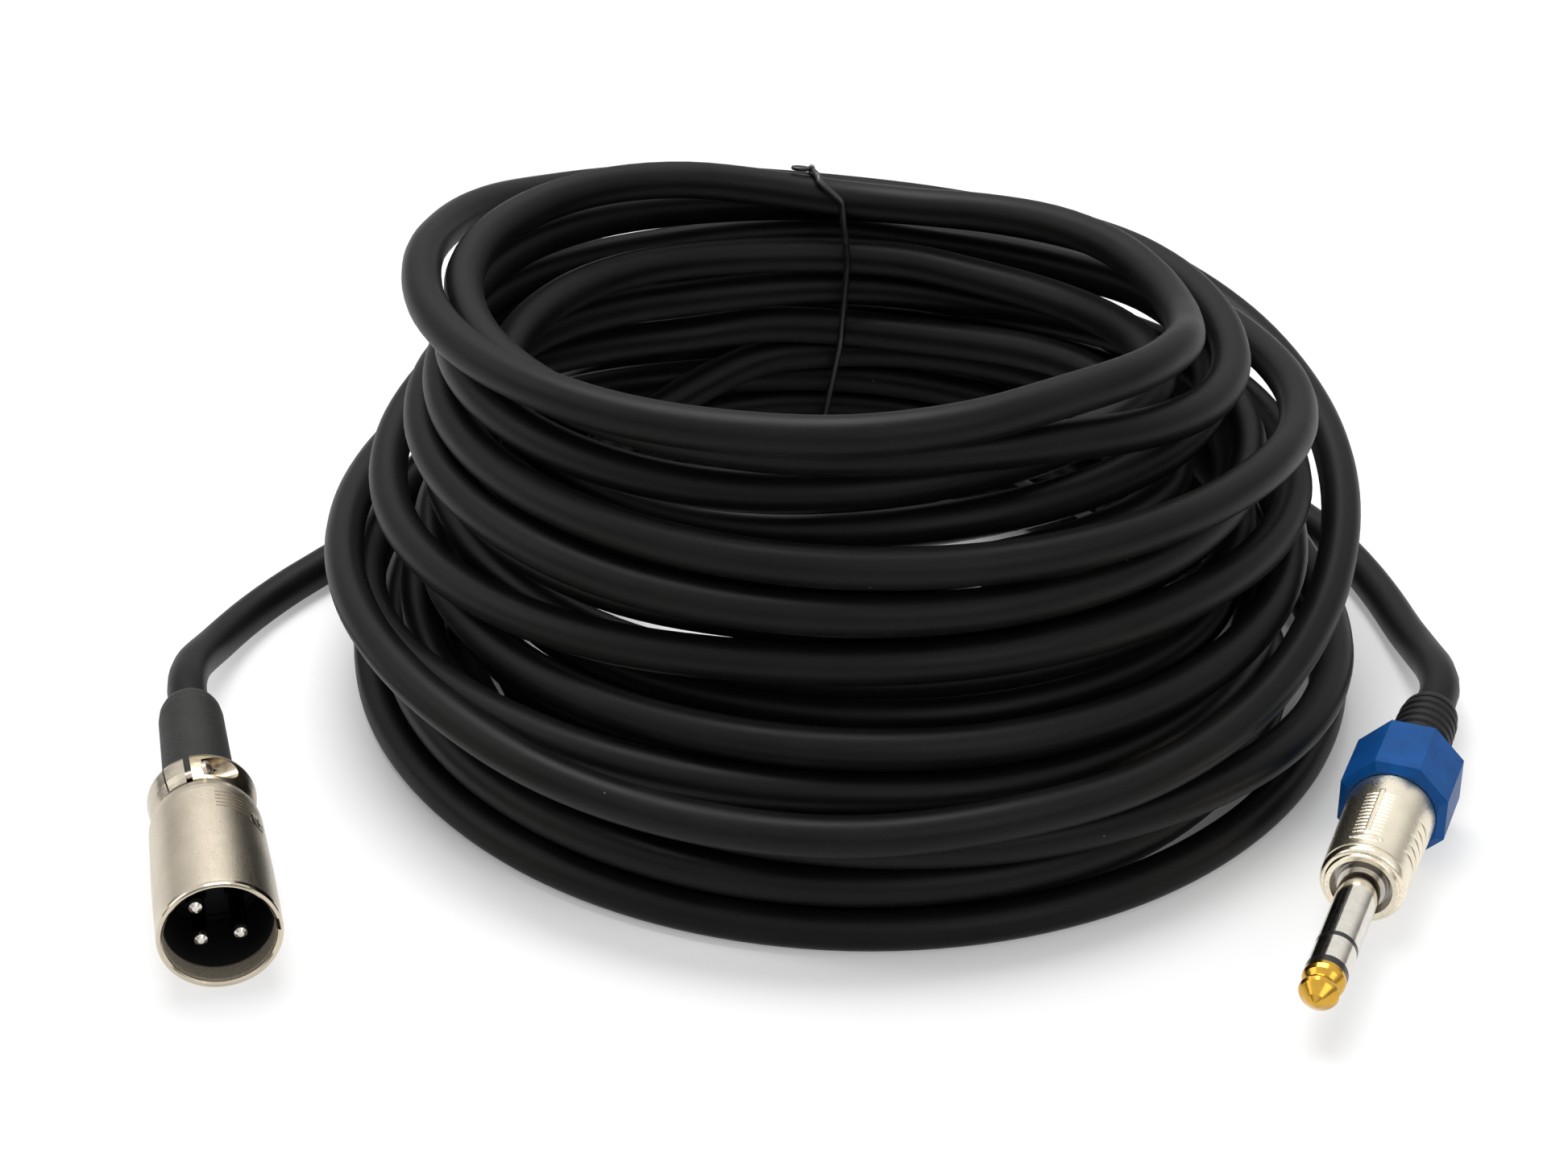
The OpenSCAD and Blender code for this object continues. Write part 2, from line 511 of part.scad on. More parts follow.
// a lead from the cut jacket forward to the back edge of its tab
module jack_lead(x, y, tab, c, r) {
  color(c) at_jack() tube(spline([[x, 0.9 * y, -jack_jacket], [x, 0.95 * y, -jack_jacket + 1.5], [0, y, -tab - 1.2], [0, y, -tab]], 2),
    r, 8, [0, 0, 1], [0, 0, 1], false, [0, 1, 0]);
}
module jack_core_hot() { jack_lead(0.4, 1.6, 12, "#b3231f", core_d / 2); }
module jack_core_cold() { jack_lead(0.9, -1.2, 12, "#e8e6df", core_d / 2 - 0.05); }
module jack_shield_lead() {
  y = -cable_r + 0.55;
  color("#b87b4b") at_jack() tube([[-1.6, y + 0.55, -jack_jacket], [-1.6, y + 0.55, -jack_jacket + 1.5], [-1.6, y + 0.5, -jack_jacket + 4],
    [-1.6, y + 0.5, -jack_jacket + 6]], 0.6, 8, [0, 0, 1], [0, 0, 1], false, [0, 1, 0]);
}

// ---- the object ----------------------------------------------------------------

translate(-middle) {
  cable_coil();
  cable_tail_xlr();
  cable_tail_jack();
  coil_tie();
  xlr_shell();
  xlr_clamp_saddle();
  xlr_clamp_screw_top();
  xlr_clamp_screw_bottom();
  xlr_insert();
  xlr_insert_screw();
  xlr_pin_1();
  xlr_pin_2();
  xlr_pin_3();
  xlr_boot();
  xlr_core_hot();
  xlr_core_cold();
  xlr_shield_lead();
  jack_tip();
  jack_tip_insulator();
  jack_ring();
  jack_ring_insulator();
  jack_sleeve();
  jack_ground_strip();
  jack_liner();
  jack_barrel();
  jack_chuck();
  jack_gland_nut();
  jack_boot();
  jack_core_hot();
  jack_core_cold();
  jack_shield_lead();
}
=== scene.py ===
from math import cos, pi, radians, sin, sqrt

import bpy
import numpy as np
from bpy.props import FloatProperty, FloatVectorProperty, IntProperty, PointerProperty
from mathutils import Euler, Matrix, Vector


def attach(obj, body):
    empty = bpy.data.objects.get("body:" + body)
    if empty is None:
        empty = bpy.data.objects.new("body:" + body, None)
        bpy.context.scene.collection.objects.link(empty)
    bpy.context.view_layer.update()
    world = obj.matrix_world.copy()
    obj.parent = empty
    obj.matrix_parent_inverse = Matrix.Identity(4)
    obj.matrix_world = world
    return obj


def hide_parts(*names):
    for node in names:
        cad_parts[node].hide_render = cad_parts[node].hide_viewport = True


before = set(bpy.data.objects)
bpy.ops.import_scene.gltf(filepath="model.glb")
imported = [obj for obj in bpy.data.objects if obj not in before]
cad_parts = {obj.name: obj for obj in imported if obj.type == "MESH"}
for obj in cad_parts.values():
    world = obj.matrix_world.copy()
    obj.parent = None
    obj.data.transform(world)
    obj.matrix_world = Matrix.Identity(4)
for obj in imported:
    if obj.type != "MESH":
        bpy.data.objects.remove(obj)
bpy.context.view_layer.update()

bl_info = {
    "name": "Coiled Audio Cable",
    "version": (1, 0, 0),
    "blender": (4, 5, 0),
    "location": "View3D > Sidebar > Audio Cable",
    "description": "Dresses a coiled balanced audio cable with its two plugs",
    "category": "Object",
}

# ---- places, in metres, as the part's source gives them

MIDDLE = Vector((0.0049, 0.0031, 0.0))   # taken off every place, to stand the whole centred
STEPS = 24                   # points in one loop of the winding
COIL_MID = (0.0097, 0.0130)  # middle of the coil
COIL_START = 165.0           # where the first loop starts, in degrees round that middle
PART_LOOP = 0.375            # share of a loop after the last whole one
TIE_STEP = 5                 # the point of each loop that the tie holds
IN_HEADING, OUT_HEADING = 55.0, -60.0    # how the cable runs into the winding and out of it
BAND_POINTS = 90             # points round the tie's band
OVER_TIE = 0.00035           # clear between the tie on the floor and the loops that cross it
ROUTE_SPACING = 0.0033       # from point to point of the cable's smooth line

# how the last three loops lie: turns before the end, then metres
TOP_R = [(-2.9, -0.0107), (-2.667, -0.014), (-2.417, -0.0139), (-2.167, -0.0249),
         (-1.917, -0.0213), (-1.78, -0.0138), (-1.667, -0.0091), (-1.417, -0.0072),
         (-1.167, 0.0017), (-1.0, 0.0074), (-0.917, 0.007), (-0.667, 0.016),
         (-0.417, 0.0079), (-0.25, 0.011), (-0.06, 0.016), (0.0, 0.017)]
TOP_Z = [(-2.417, 0.0), (-2.3, 0.0442), (-2.167, 0.0424), (-1.917, 0.0466),
         (-1.667, 0.0663), (-1.417, 0.0665), (-1.167, 0.0487), (-0.917, 0.0334),
         (-0.75, 0.0)]

XLR_YAW, JACK_YAW = 13.0, -21.2
XLR_COLLAR = 0.0365          # mouth to the back of the collar
XLR_BOOT = 0.0265            # length of the boot that shows behind the collar
XLR_TUBE_END = 0.030         # mouth to the front of the collar
JACK_BARREL = 0.0215         # length of the barrel, without the thread behind it
JACK_NUT = 0.0138            # length of the nut
JACK_BOOT = 0.017            # length of the boot that shows behind the nut
BARREL_TAPER = 0.0004        # how much less the barrel's radius is at its face than at the nut
DARK = (0.006, 0.006, 0.006)             # black plastic, and what lies too deep to be lit


def heading(degrees):
    """Level unit vector at that angle from +X."""
    a = radians(degrees)
    return Vector((cos(a), sin(a), 0.0))


def ease(t):
    """0 up to t = 0, 1 from t = 1, and a smooth step between."""
    t = min(1.0, max(0.0, t))
    return t * t * (3 - 2 * t)


def keyed(keys, x):
    """Value at x between keyed values, eased from one key to the next."""
    if x <= keys[0][0]:
        return keys[0][1]
    for (x0, y0), (x1, y1) in zip(keys, keys[1:]):
        if x <= x1:
            return y0 + (y1 - y0) * ease((x - x0) / (x1 - x0))
    return keys[-1][1]


def sind(degrees):
    return sin(radians(degrees))


# ---- the winding's rule


class Winding:
    """The cable's centreline, laid loop after loop on what lies under it."""

    def __init__(self, c, tie_d):
        self.c, self.tie_d = c, tie_d
        self.d = c.jacket_diameter
        self.turns = c.loops + PART_LOOP
        self.last = round(self.turns * STEPS)
        self.radii = [self.radius(i) for i in range(self.last + 1)]
        self.heights = []
        for i in range(self.last + 1):
            b = [self.prop(i + k) for k in (-2, -1, 0, 1, 2)]
            self.heights.append((max(b[0:3]) + max(b[1:4]) + max(b[2:5])) / 3)

    def radius(self, i):
        """Free swings in the lower loops, and set places in the last three."""
        c, u = self.c, i / STEPS
        m, w, s = u / self.turns, radians(COIL_START - 360 * u), self.turns - u
        free = (c.coil_radius - 0.0005 - c.pile_taper * m
                + c.loop_swing * (1 + 0.27 * sin(w)) * (1 - 0.25 * m) * sind(98.5 * u + 17)
                + 0.0033 * sind(427.6 * u + 312) + 0.0021 * sind(730.1 * u + 325)
                + (0.0004 - 0.0016 * m) * cos(w) + (0.0007 * m - 0.0053) * sin(w)
                - 0.0016 * cos(2 * w))
        t = ease((3 - s) / 0.25) if s < 3 else 0.0
        body = free * (1 - t) + t * (c.coil_radius + keyed(TOP_R, -s))
        e = ease(u / 0.15)
        return body * e + (1 - e) * (c.coil_radius + 0.017 - 0.150 * u)

    def on_floor(self, i):
        """Height of a loop that lies on the floor, pressed a little flat, or on the tie."""
        flat = self.c.rest_flat * self.d * ease(min(i, self.last - i) / 4)
        over_tie = (self.tie_d + OVER_TIE) * (1, 0.4, 0)[min(2, abs(i % STEPS - TIE_STEP))]
        return self.d / 2 - flat + over_tie

    def loft(self, q):
        """Springy cable stands up off the pile at the back, the later the more."""
        u = q / STEPS
        grown = ease(u / self.turns) * ease((self.turns - u - 0.6) / 0.8)
        return grown * (self.c.pile_loft / 2 * (1 + sind(COIL_START - 357.5 * u + 49))
                        + 0.0016 * sind(223.3 * u + 2))

    def prop(self, i):
        """The height that holds point i up: the floor, springiness or a loop under it."""
        q = max(0, min(self.last, i))
        s, pitch = self.turns - q / STEPS, self.d + self.c.loop_gap
        rests = [self.on_floor(q), self.loft(q), keyed(TOP_Z, -s) if s < 3 else 0.0]
        for j in range(q - STEPS, -1, -STEPS):
            apart = abs(self.radii[q] - self.radii[j])
            if apart < pitch:
                rests.append(self.heights[j] + sqrt(pitch * pitch - apart * apart))
        return max(rests)

    def place(self, i, z=None):
        """Where point i lies, or where it would at the height z."""
        w = radians(COIL_START - 360 * i / STEPS)
        r = self.radii[i]
        return Vector((COIL_MID[0] + r * cos(w), COIL_MID[1] + r * sin(w),
                       self.heights[i] if z is None else z))


def plug_places(c, p):
    """Where each plug's mouth or barrel face lies, before the middle is taken off."""
    left, right = COIL_MID[0] - c.coil_radius, COIL_MID[0] + c.coil_radius
    front = COIL_MID[1] - c.coil_radius
    return (Vector((left - 0.0161, front - 0.0227, p.shell_diameter / 2)),
            Vector((right + 0.0007, front - 0.0095, p.nut_across_flats / 2)))


def plug_turn(yaw):
    """Turn from a plug's own frame, +Z out of its mouth and +Y up, to the row frame."""
    return Euler((pi / 2, 0.0, radians(yaw)))


def behind(at, yaw, s):
    return at + s * heading(yaw + 90)


def cable_route(c, p, t):
    """Given points of the whole cable, from inside one plug to inside the other."""
    w = Winding(c, t.tie_diameter)
    d, r = c.jacket_diameter, c.jacket_diameter / 2
    left, right = COIL_MID[0] - c.coil_radius, COIL_MID[0] + c.coil_radius
    xlr_at, jack_at = plug_places(c, p)
    inward, outward = heading(IN_HEADING), heading(OUT_HEADING)
    first, final = w.place(0, r), w.place(w.last, r)
    xlr_free = XLR_COLLAR + XLR_BOOT + 0.006
    jack_free = JACK_BARREL + JACK_NUT + JACK_BOOT + 0.0067
    e0, e1 = first - d * inward, final + d * outward
    lead_in = [behind(xlr_at, XLR_YAW, XLR_TUBE_END + 0.003),
               behind(xlr_at, XLR_YAW, xlr_free - d), behind(xlr_at, XLR_YAW, xlr_free),
               Vector((left - 0.0325, -0.008, 0.0076)), Vector((left - 0.0309, 0.004, 0.0046)),
               Vector((left - 0.0263, 0.0175, r)), e0 - 0.0055 * inward, e0]
    lead_out = [e1, e1 + 0.006 * outward,
                Vector((right + 0.0168, 0.033, r)), Vector((right + 0.0195, 0.022, r)),
                Vector((right + 0.0213, 0.011, 0.0035)), Vector((right + 0.0225, 0.001, 0.005)),
                Vector((right + 0.0229, -0.0085, 0.0072)), behind(jack_at, JACK_YAW, jack_free),
                behind(jack_at, JACK_YAW, jack_free - d), behind(jack_at, JACK_YAW, 0.017)]
    wound = [w.place(i) for i in range(w.last + 1)]
    return [q - MIDDLE for q in lead_in + wound + lead_out]


def smooth_line(points, spacing):
    """A smooth curve through the points, close enough together to look round."""
    p = np.array([tuple(q) for q in points], float)
    gap = np.linalg.norm(np.diff(p, axis=0), axis=1)
    slope = np.zeros_like(p)
    v = np.diff(p, axis=0) / gap[:, None]
    slope[1:-1] = (v[:-1] * gap[1:, None] + v[1:] * gap[:-1, None]) / (gap[:-1] + gap[1:])[:, None]
    slope[0], slope[-1] = v[0], v[-1]
    out = []
    for i, g in enumerate(gap):
        n = max(1, round(g / spacing))
        for k in range(n):
            t = k / n
            h = ((1 + 2 * t) * (1 - t) ** 2, t * (1 - t) ** 2, t * t * (3 - 2 * t), t * t * (t - 1))
            out.append(h[0] * p[i] + h[1] * g * slope[i]
                       + h[2] * p[i + 1] + h[3] * g * slope[i + 1])
    out.append(p[-1])
    return [Vector(q) for q in out]


# ---- sizes and colours that a user may change

LENGTH = {"subtype": "DISTANCE", "unit": "LENGTH"}
COLOUR = {"subtype": "COLOR", "size": 3, "min": 0, "max": 1}


class CableSizes(bpy.types.PropertyGroup):
    """Sizes of the cable and of its winding."""

    jacket_diameter: FloatProperty(
        name="Jacket diameter", description="Outside diameter of the cable",
        default=0.0064, min=0.005, max=0.008, **LENGTH)
    loops: IntProperty(
        name="Loops", description="Whole loops in the winding",
        default=21, min=4, max=24)
    coil_radius: FloatProperty(
        name="Coil radius", description="Mean radius of the winding at the floor",
        default=0.075, min=0.06, max=0.09, **LENGTH)
    pile_taper: FloatProperty(
        name="Pile taper", description="How far the pile leans inward to its top",
        default=0.0168, min=0.0, max=0.025, **LENGTH)
    loop_swing: FloatProperty(
        name="Loop swing", description="How far the lower loops swing in and out",
        default=0.0105, min=0.0, max=0.02, **LENGTH)
    pile_loft: FloatProperty(
        name="Pile loft", description="How high the last loops stand at the back",
        default=0.059, min=0.0, max=0.08, **LENGTH)
    loop_gap: FloatProperty(
        name="Loop gap", description="Least gap between neighbouring loops",
        default=0.0006, min=0.0003, max=0.001, **LENGTH)
    rest_flat: FloatProperty(
        name="Rest flat", description="Flat under the coil, as a share of the diameter",
        default=0.1, min=0.0, max=0.15, subtype="FACTOR")
    round_sides: IntProperty(
        name="Sides", description="Faces round the cable",
        default=18, min=8, max=24)


class TieSizes(bpy.types.PropertyGroup):
    """Sizes of the wire tie."""

    tie_diameter: FloatProperty(
        name="Tie diameter", description="Diameter of the coated wire tie",
        default=0.0012, min=0.0008, max=0.002, **LENGTH)
    twist_turns: FloatProperty(
        name="Twist turns", description="Turns in the tie's twisted ends",
        default=1.0, min=1.0, max=5.0)
    twist_length: FloatProperty(
        name="Twist length", description="How far the twisted ends stand out",
        default=0.0036, min=0.003, max=0.02, **LENGTH)
    eye_width: FloatProperty(
        name="Eye width", description="Width of the small eye at the end of the twist",
        default=0.0018, min=0.001, max=0.004, **LENGTH)


class PlugSizes(bpy.types.PropertyGroup):
    """Sizes of what is added to the two plugs."""

    shell_diameter: FloatProperty(
        name="Shell diameter", description="Outside diameter of the three-pin shell",
        default=0.0184, min=0.016, max=0.021, **LENGTH)
    barrel_diameter: FloatProperty(
        name="Barrel diameter", description="Jack barrel where it meets the nut",
        default=0.0138, min=0.012, max=0.015, **LENGTH)
    nut_across_flats: FloatProperty(
        name="Nut across flats", description="Width of the blue nut",
        default=0.0166, min=0.015, max=0.018, **LENGTH)
    grip_ribs: IntProperty(
        name="Grip ribs", description="Fine ribs in each column on the barrel",
        default=12, min=4, max=20)
    rib_pitch: FloatProperty(
        name="Rib pitch", description="Distance from rib to rib",
        default=0.00095, min=0.0005, max=0.002, **LENGTH)
    rib_width: FloatProperty(
        name="Rib width", description="Width of one fine rib",
        default=0.00052, min=0.0001, max=0.001, **LENGTH)


class Colours(bpy.types.PropertyGroup):
    """Colours of the finishes, as linear values."""

    jacket: FloatVectorProperty(
        name="Jacket", description="Cable jacket",
        **COLOUR, default=(0.0045, 0.0045, 0.0042))
    nickel: FloatVectorProperty(
        name="Nickel", description="Plated shells",
        **COLOUR, default=(0.60, 0.53, 0.42))
    gold: FloatVectorProperty(
        name="Gold", description="Jack tip",
        **COLOUR, default=(0.66, 0.375, 0.055))
    nut: FloatVectorProperty(
        name="Nut", description="Gland nut",
        **COLOUR, default=(0.003, 0.066, 0.245))
    boot: FloatVectorProperty(
        name="Boots", description="Rubber boots",
        **COLOUR, default=(0.014, 0.0145, 0.013))
    floor: FloatVectorProperty(
        name="Floor", description="Floor and backdrop",
        **COLOUR, default=(0.95, 0.95, 0.95))


class AudioCable(bpy.types.PropertyGroup):
    """Everything that the sidebar shows."""

    cable: PointerProperty(type=CableSizes, name="Cable", description="Cable sizes")
    tie: PointerProperty(type=TieSizes, name="Tie", description="Tie sizes")
    plugs: PointerProperty(type=PlugSizes, name="Plugs", description="Plug sizes")
    colours: PointerProperty(type=Colours, name="Colours", description="Colours of the finishes")


# ---- node helpers


def add(tree, kind, inputs=None, **settings):
    """Adds a node; each input is a number, a colour or the socket that feeds it."""
    n = tree.nodes.new(kind)
    for k, v in settings.items():
        setattr(n, k, v)
    for k, v in (inputs or {}).items():
        if isinstance(v, bpy.types.NodeSocket):
            tree.links.new(v, n.inputs[k])
        else:
            n.inputs[k].default_value = v
    return n


def sums(tree, operation, a, b=None):
    """One sum of two values, or of one."""
    values = {0: a} if b is None else {0: a, 1: b}
    return add(tree, "ShaderNodeMath", values, operation=operation).outputs[0]


def blend_colours(tree, share, a, b):
    """Colour a where the share is 0 and colour b where it is 1."""
    return add(tree, "ShaderNodeMix", {0: share, 6: a, 7: b}, data_type="RGBA").outputs[2]


def between(tree, value, from_min, from_max, to_min=0.0, to_max=1.0):
    """Value mapped smoothly from one range to another and clamped there."""
    n = add(tree, "ShaderNodeMapRange", {0: value, 1: from_min, 2: from_max, 3: to_min, 4: to_max},
            interpolation_type="SMOOTHSTEP")
    return n.outputs[0]


def rgba(colour, by=1.0):
    return (colour[0] * by, colour[1] * by, colour[2] * by, 1.0)


def uneven(tree, pattern, low, high, colour, least, most):
    """The colour times least where the pattern is low, and times most where it is high."""
    share = between(tree, pattern, low, high)
    return blend_colours(tree, share, rgba(colour, least), rgba(colour, most))


def new_finish(name, colour, roughness, metallic=0.0, **sockets):
    """A material whose shader already holds what is the same all over it."""
    m = bpy.data.materials.new(name)
    m.use_nodes = True
    tree = m.node_tree
    shader = tree.nodes["Principled BSDF"]
    shader.inputs["Base Color"].default_value = rgba(colour)
    shader.inputs["Roughness"].default_value = roughness
    shader.inputs["Metallic"].default_value = metallic
    for k, v in sockets.items():
        shader.inputs[k.replace("_", " ")].default_value = v
    return m, tree, shader


def own_place(tree, frame_of=None):
    """Object coordinates, or the same seen in a plug's own frame."""
    coords = add(tree, "ShaderNodeTexCoord").outputs["Object"]
    if frame_of is None:
        return coords
    at, yaw = frame_of
    n = add(tree, "ShaderNodeMapping", {"Vector": coords}, vector_type="TEXTURE")
    n.inputs["Location"].default_value = at - MIDDLE
    n.inputs["Rotation"].default_value = plug_turn(yaw)
    return n.outputs[0]


def noise(tree, where, scale, detail=2.0, roughness=0.5):
    n = add(tree, "ShaderNodeTexNoise", {
        "Vector": where, "Scale": scale, "Detail": detail, "Roughness": roughness})
    return n.outputs["Fac"]


def axis_and_radius(tree, where):
    """How far along a plug's own axis a point is, and how far from that axis."""
    parts = add(tree, "ShaderNodeSeparateXYZ", {0: where})
    flat = add(tree, "ShaderNodeCombineXYZ", {0: parts.outputs[0], 1: parts.outputs[1], 2: 0.0})
    r = add(tree, "ShaderNodeVectorMath", {0: flat.outputs[0]}, operation="LENGTH")
    return parts.outputs[2], r.outputs["Value"]


def bumped(tree, shader, height, distance):
    n = add(tree, "ShaderNodeBump", {"Height": height, "Distance": distance, "Strength": 1.0})
    tree.links.new(n.outputs[0], shader.inputs["Normal"])


def drives(tree, shader, **sockets):
    """Links each value to the shader's input of that name."""
    for k, v in sockets.items():
        tree.links.new(v, shader.inputs[k.replace("_", " ")])


# ---- finishes


def satin_jacket(colour):
    """Black PVC: fine grain, faint marks along its length, and a few specks of dust."""
    m, tree, shader = new_finish("satin_black_jacket", colour, 0.42, Specular_IOR_Level=0.13)
    along = add(tree, "ShaderNodeAttribute", attribute_name="along")
    across = add(tree, "ShaderNodeAttribute", attribute_name="across")
    parts = add(tree, "ShaderNodeSeparateXYZ", {0: across.outputs["Vector"]}).outputs
    slowly = sums(tree, "MULTIPLY", along.outputs["Fac"], 0.04)
    drawn = add(tree, "ShaderNodeCombineXYZ", {0: slowly, 1: parts[0], 2: parts[1]})
    here = own_place(tree)
    grain = noise(tree, here, 5200, 2.0, 0.6)
    streak = noise(tree, drawn.outputs[0], 900, 2.0)
    cloud = noise(tree, here, 55, 4.0, 0.6)
    dots = add(tree, "ShaderNodeTexVoronoi", {"Vector": here, "Scale": 260.0, "Randomness": 1.0})
    near = between(tree, dots.outputs["Distance"], 0.045, 0.02)
    chosen = add(tree, "ShaderNodeSeparateColor", {0: dots.outputs["Color"]})
    speck = sums(tree, "MULTIPLY", near, between(tree, chosen.outputs[0], 0.93, 0.94))
    handled = uneven(tree, cloud, 0.35, 0.7, colour, 1.0, 1.5)
    dusty = blend_colours(tree, sums(tree, "MULTIPLY", speck, 0.55), handled, (0.36, 0.32, 0.26, 1))
    rough = sums(tree, "ADD", between(tree, cloud, 0.3, 0.7, 0.36, 0.44),
                 sums(tree, "MULTIPLY", streak, 0.05))
    drives(tree, shader, Base_Color=dusty, Roughness=rough)
    height = sums(tree, "ADD", grain, sums(tree, "MULTIPLY", streak, 0.8))
    bumped(tree, shader, height, 0.000018)
    return m


def coated_wire():
    """Black coating of the tie: half glossy, with a fine skin."""
    m, tree, shader = new_finish("tie_coating", (0.008, 0.008, 0.008), 0.34, Specular_IOR_Level=0.5)
    here = own_place(tree)
    drives(tree, shader, Roughness=between(tree, noise(tree, here, 900, 3.0), 0.3, 0.7, 0.26, 0.42))
    bumped(tree, shader, noise(tree, here, 2600), 0.00002)
    return m


def blasted_nickel(colour, frame_of, plugs):
    """Satin shell: bead blasted outside, bright at the rim, coarse inside the cup, with painted
    shade deep in the cup, a painted floor reflection near its mouth and painted dark reflections on
    the collar.
    """
    m, tree, shader = new_finish("blasted_nickel", colour, 0.34, 1.0)
    here = own_place(tree, frame_of)
    z, r = axis_and_radius(tree, here)
    rim = between(tree, z, -0.0011, -0.0007)
    outer = plugs.shell_diameter / 2
    within = between(tree, r, outer - 0.0009, outer - 0.00105)
    inside = sums(tree, "MULTIPLY", within, between(tree, z, -0.0250, -0.0245))
    collar = between(tree, z, -XLR_TUBE_END + 0.0001, -XLR_TUBE_END - 0.0001)
    bright = sums(tree, "MAXIMUM", rim, collar)
    blasted = noise(tree, here, 4200, 3.0, 0.65)
    pitted = noise(tree, here, 7800, 3.0, 0.7)
    cloud = noise(tree, here, 160, 3.0)
    tint = uneven(tree, cloud, 0.35, 0.65, colour, 0.95, 1.05)
    # painted shade and painted reflection: near the mouth the cup's wall is pale pitted cast metal,
    # mostly unmetallic, its pale tone standing in for the floor's reflection; further in it is
    # painted dark and unmetallic as shade
    deep_shade = sums(tree, "MULTIPLY", inside, between(tree, z, -0.0034, -0.0040))
    cup = uneven(tree, pitted, 0.4, 0.62, colour, 0.34, 0.95)
    cast_and_painted_reflection = sums(tree, "MULTIPLY", inside, 0.75)
    # painted reflection: the polished collar is mottled brown where it would reflect dark things
    collar_reflection_mottle = between(tree, noise(tree, here, 330, 3.0, 0.6), 0.36, 0.62, 0.25, 0.85)
    painted_collar_reflection = sums(tree, "MULTIPLY", collar, collar_reflection_mottle)
    tint = blend_colours(tree, painted_collar_reflection, tint, (0.21, 0.16, 0.095, 1))
    # painted shade: deep in the cup the wall takes the dark colour instead of metal
    tone = blend_colours(tree, deep_shade, blend_colours(tree, inside, tint, cup), rgba(DARK))
    rough = between(tree, blasted, 0.3, 0.7, 0.27, 0.40)
    for share, level in ((rim, 0.13), (collar, 0.3), (inside, 0.6)):
        rough = blend_colours(tree, share, rough, (level, level, level, 1))
    metal = sums(tree, "SUBTRACT", 1.0, sums(tree, "MAXIMUM", deep_shade, cast_and_painted_reflection))
    drives(tree, shader, Base_Color=tone, Roughness=rough, Metallic=metal)
    quiet = sums(tree, "SUBTRACT", 1.0, sums(tree, "MULTIPLY", bright, 0.93))
    bumped(tree, shader, sums(tree, "MULTIPLY", blasted, quiet), 0.00003)
    return m


def turned_nickel(name, colour, frame_of, roughness, painted_shade=None):
    """Bright plated metal with faint lathe rings.

    Given the depths, it darkens from one to the other as painted shade, and keeps a share of its
    colour.
    """
    m, tree, shader = new_finish(name, colour, roughness, 1.0)
    here = own_place(tree, frame_of)
    z, r = axis_and_radius(tree, here)
    rings = add(tree, "ShaderNodeCombineXYZ", {0: z, 1: r, 2: 0.0})
    lathe = noise(tree, rings.outputs[0], 9000, 1.0)
    worn = noise(tree, here, 700, 3.0, 0.6)
    tint = uneven(tree, worn, 0.3, 0.7, colour, 0.94, 1.04)
    rough = sums(tree, "ADD", between(tree, worn, 0.35, 0.7, roughness * 0.8, roughness * 1.3),
                 sums(tree, "MULTIPLY", lathe, 0.03))
    if painted_shade:
        # painted shade: darker from one depth on, keeping a share of the colour
        start, end, left = painted_shade
        tint = blend_colours(tree, between(tree, z, start, end), tint, rgba(colour, left))
    drives(tree, shader, Base_Color=tint, Roughness=rough)
    bumped(tree, shader, lathe, 0.0000012)
    return m


def satin_barrel(colour, frame_of):
    """Satin plating: fine blasted grain, polished at the front with a few warm worn patches, with
    painted shade in the sunk arcs and inside the bore.
    """
    m, tree, shader = new_finish("barrel_nickel", colour, 0.26, 1.0)
    here = own_place(tree, frame_of)
    z, r = axis_and_radius(tree, here)
    blasted = noise(tree, here, 5200, 3.0, 0.65)
    cloud = noise(tree, here, 210, 3.0)
    front = between(tree, z, -0.0023, -0.0020)
    patch = between(tree, noise(tree, here, 2300, 2.0, 0.6), 0.4, 0.65)
    worn = sums(tree, "MULTIPLY", front, patch)
    tint = uneven(tree, cloud, 0.35, 0.65, colour, 0.96, 1.04)
    tint = blend_colours(tree, sums(tree, "MULTIPLY", worn, 0.12), tint, (0.20, 0.15, 0.08, 1))
    # painted shade: the sunk arcs are painted dark brown, the more the deeper they are
    sunk = add(tree, "ShaderNodeAttribute", attribute_name="sunk").outputs["Fac"]
    arc_shade = between(tree, sunk, 0.35, 0.9, 0.0, 0.85)
    tint = blend_colours(tree, arc_shade, tint, (0.09, 0.065, 0.04, 1))
    # painted shade: inside the bore the metal is painted dark brown
    tint = blend_colours(tree, between(tree, r, 0.0048, 0.0046), tint, (0.10, 0.07, 0.035, 1))
    rough = sums(tree, "SUBTRACT", between(tree, blasted, 0.3, 0.7, 0.22, 0.34),
                 sums(tree, "MULTIPLY", front, 0.1))
    drives(tree, shader, Base_Color=tint, Roughness=rough)
    bumped(tree, shader, blasted, 0.000012)
    return m


def moulded(name, colour, roughness, grain=3000.0, depth=0.000012, **sockets):
    """Moulded plastic or rubber: fine skin, slight unevenness in tone and gloss."""
    m, tree, shader = new_finish(name, colour, roughness, **sockets)
    here = own_place(tree)
    skin = noise(tree, here, grain, 3.0, 0.6)
    cloud = noise(tree, here, 240, 3.0)
    tint = uneven(tree, cloud, 0.3, 0.7, colour, 0.86, 1.14)
    drives(tree, shader, Base_Color=tint,
           Roughness=between(tree, skin, 0.25, 0.75, roughness * 0.85, roughness * 1.15))
    bumped(tree, shader, skin, depth)
    return m


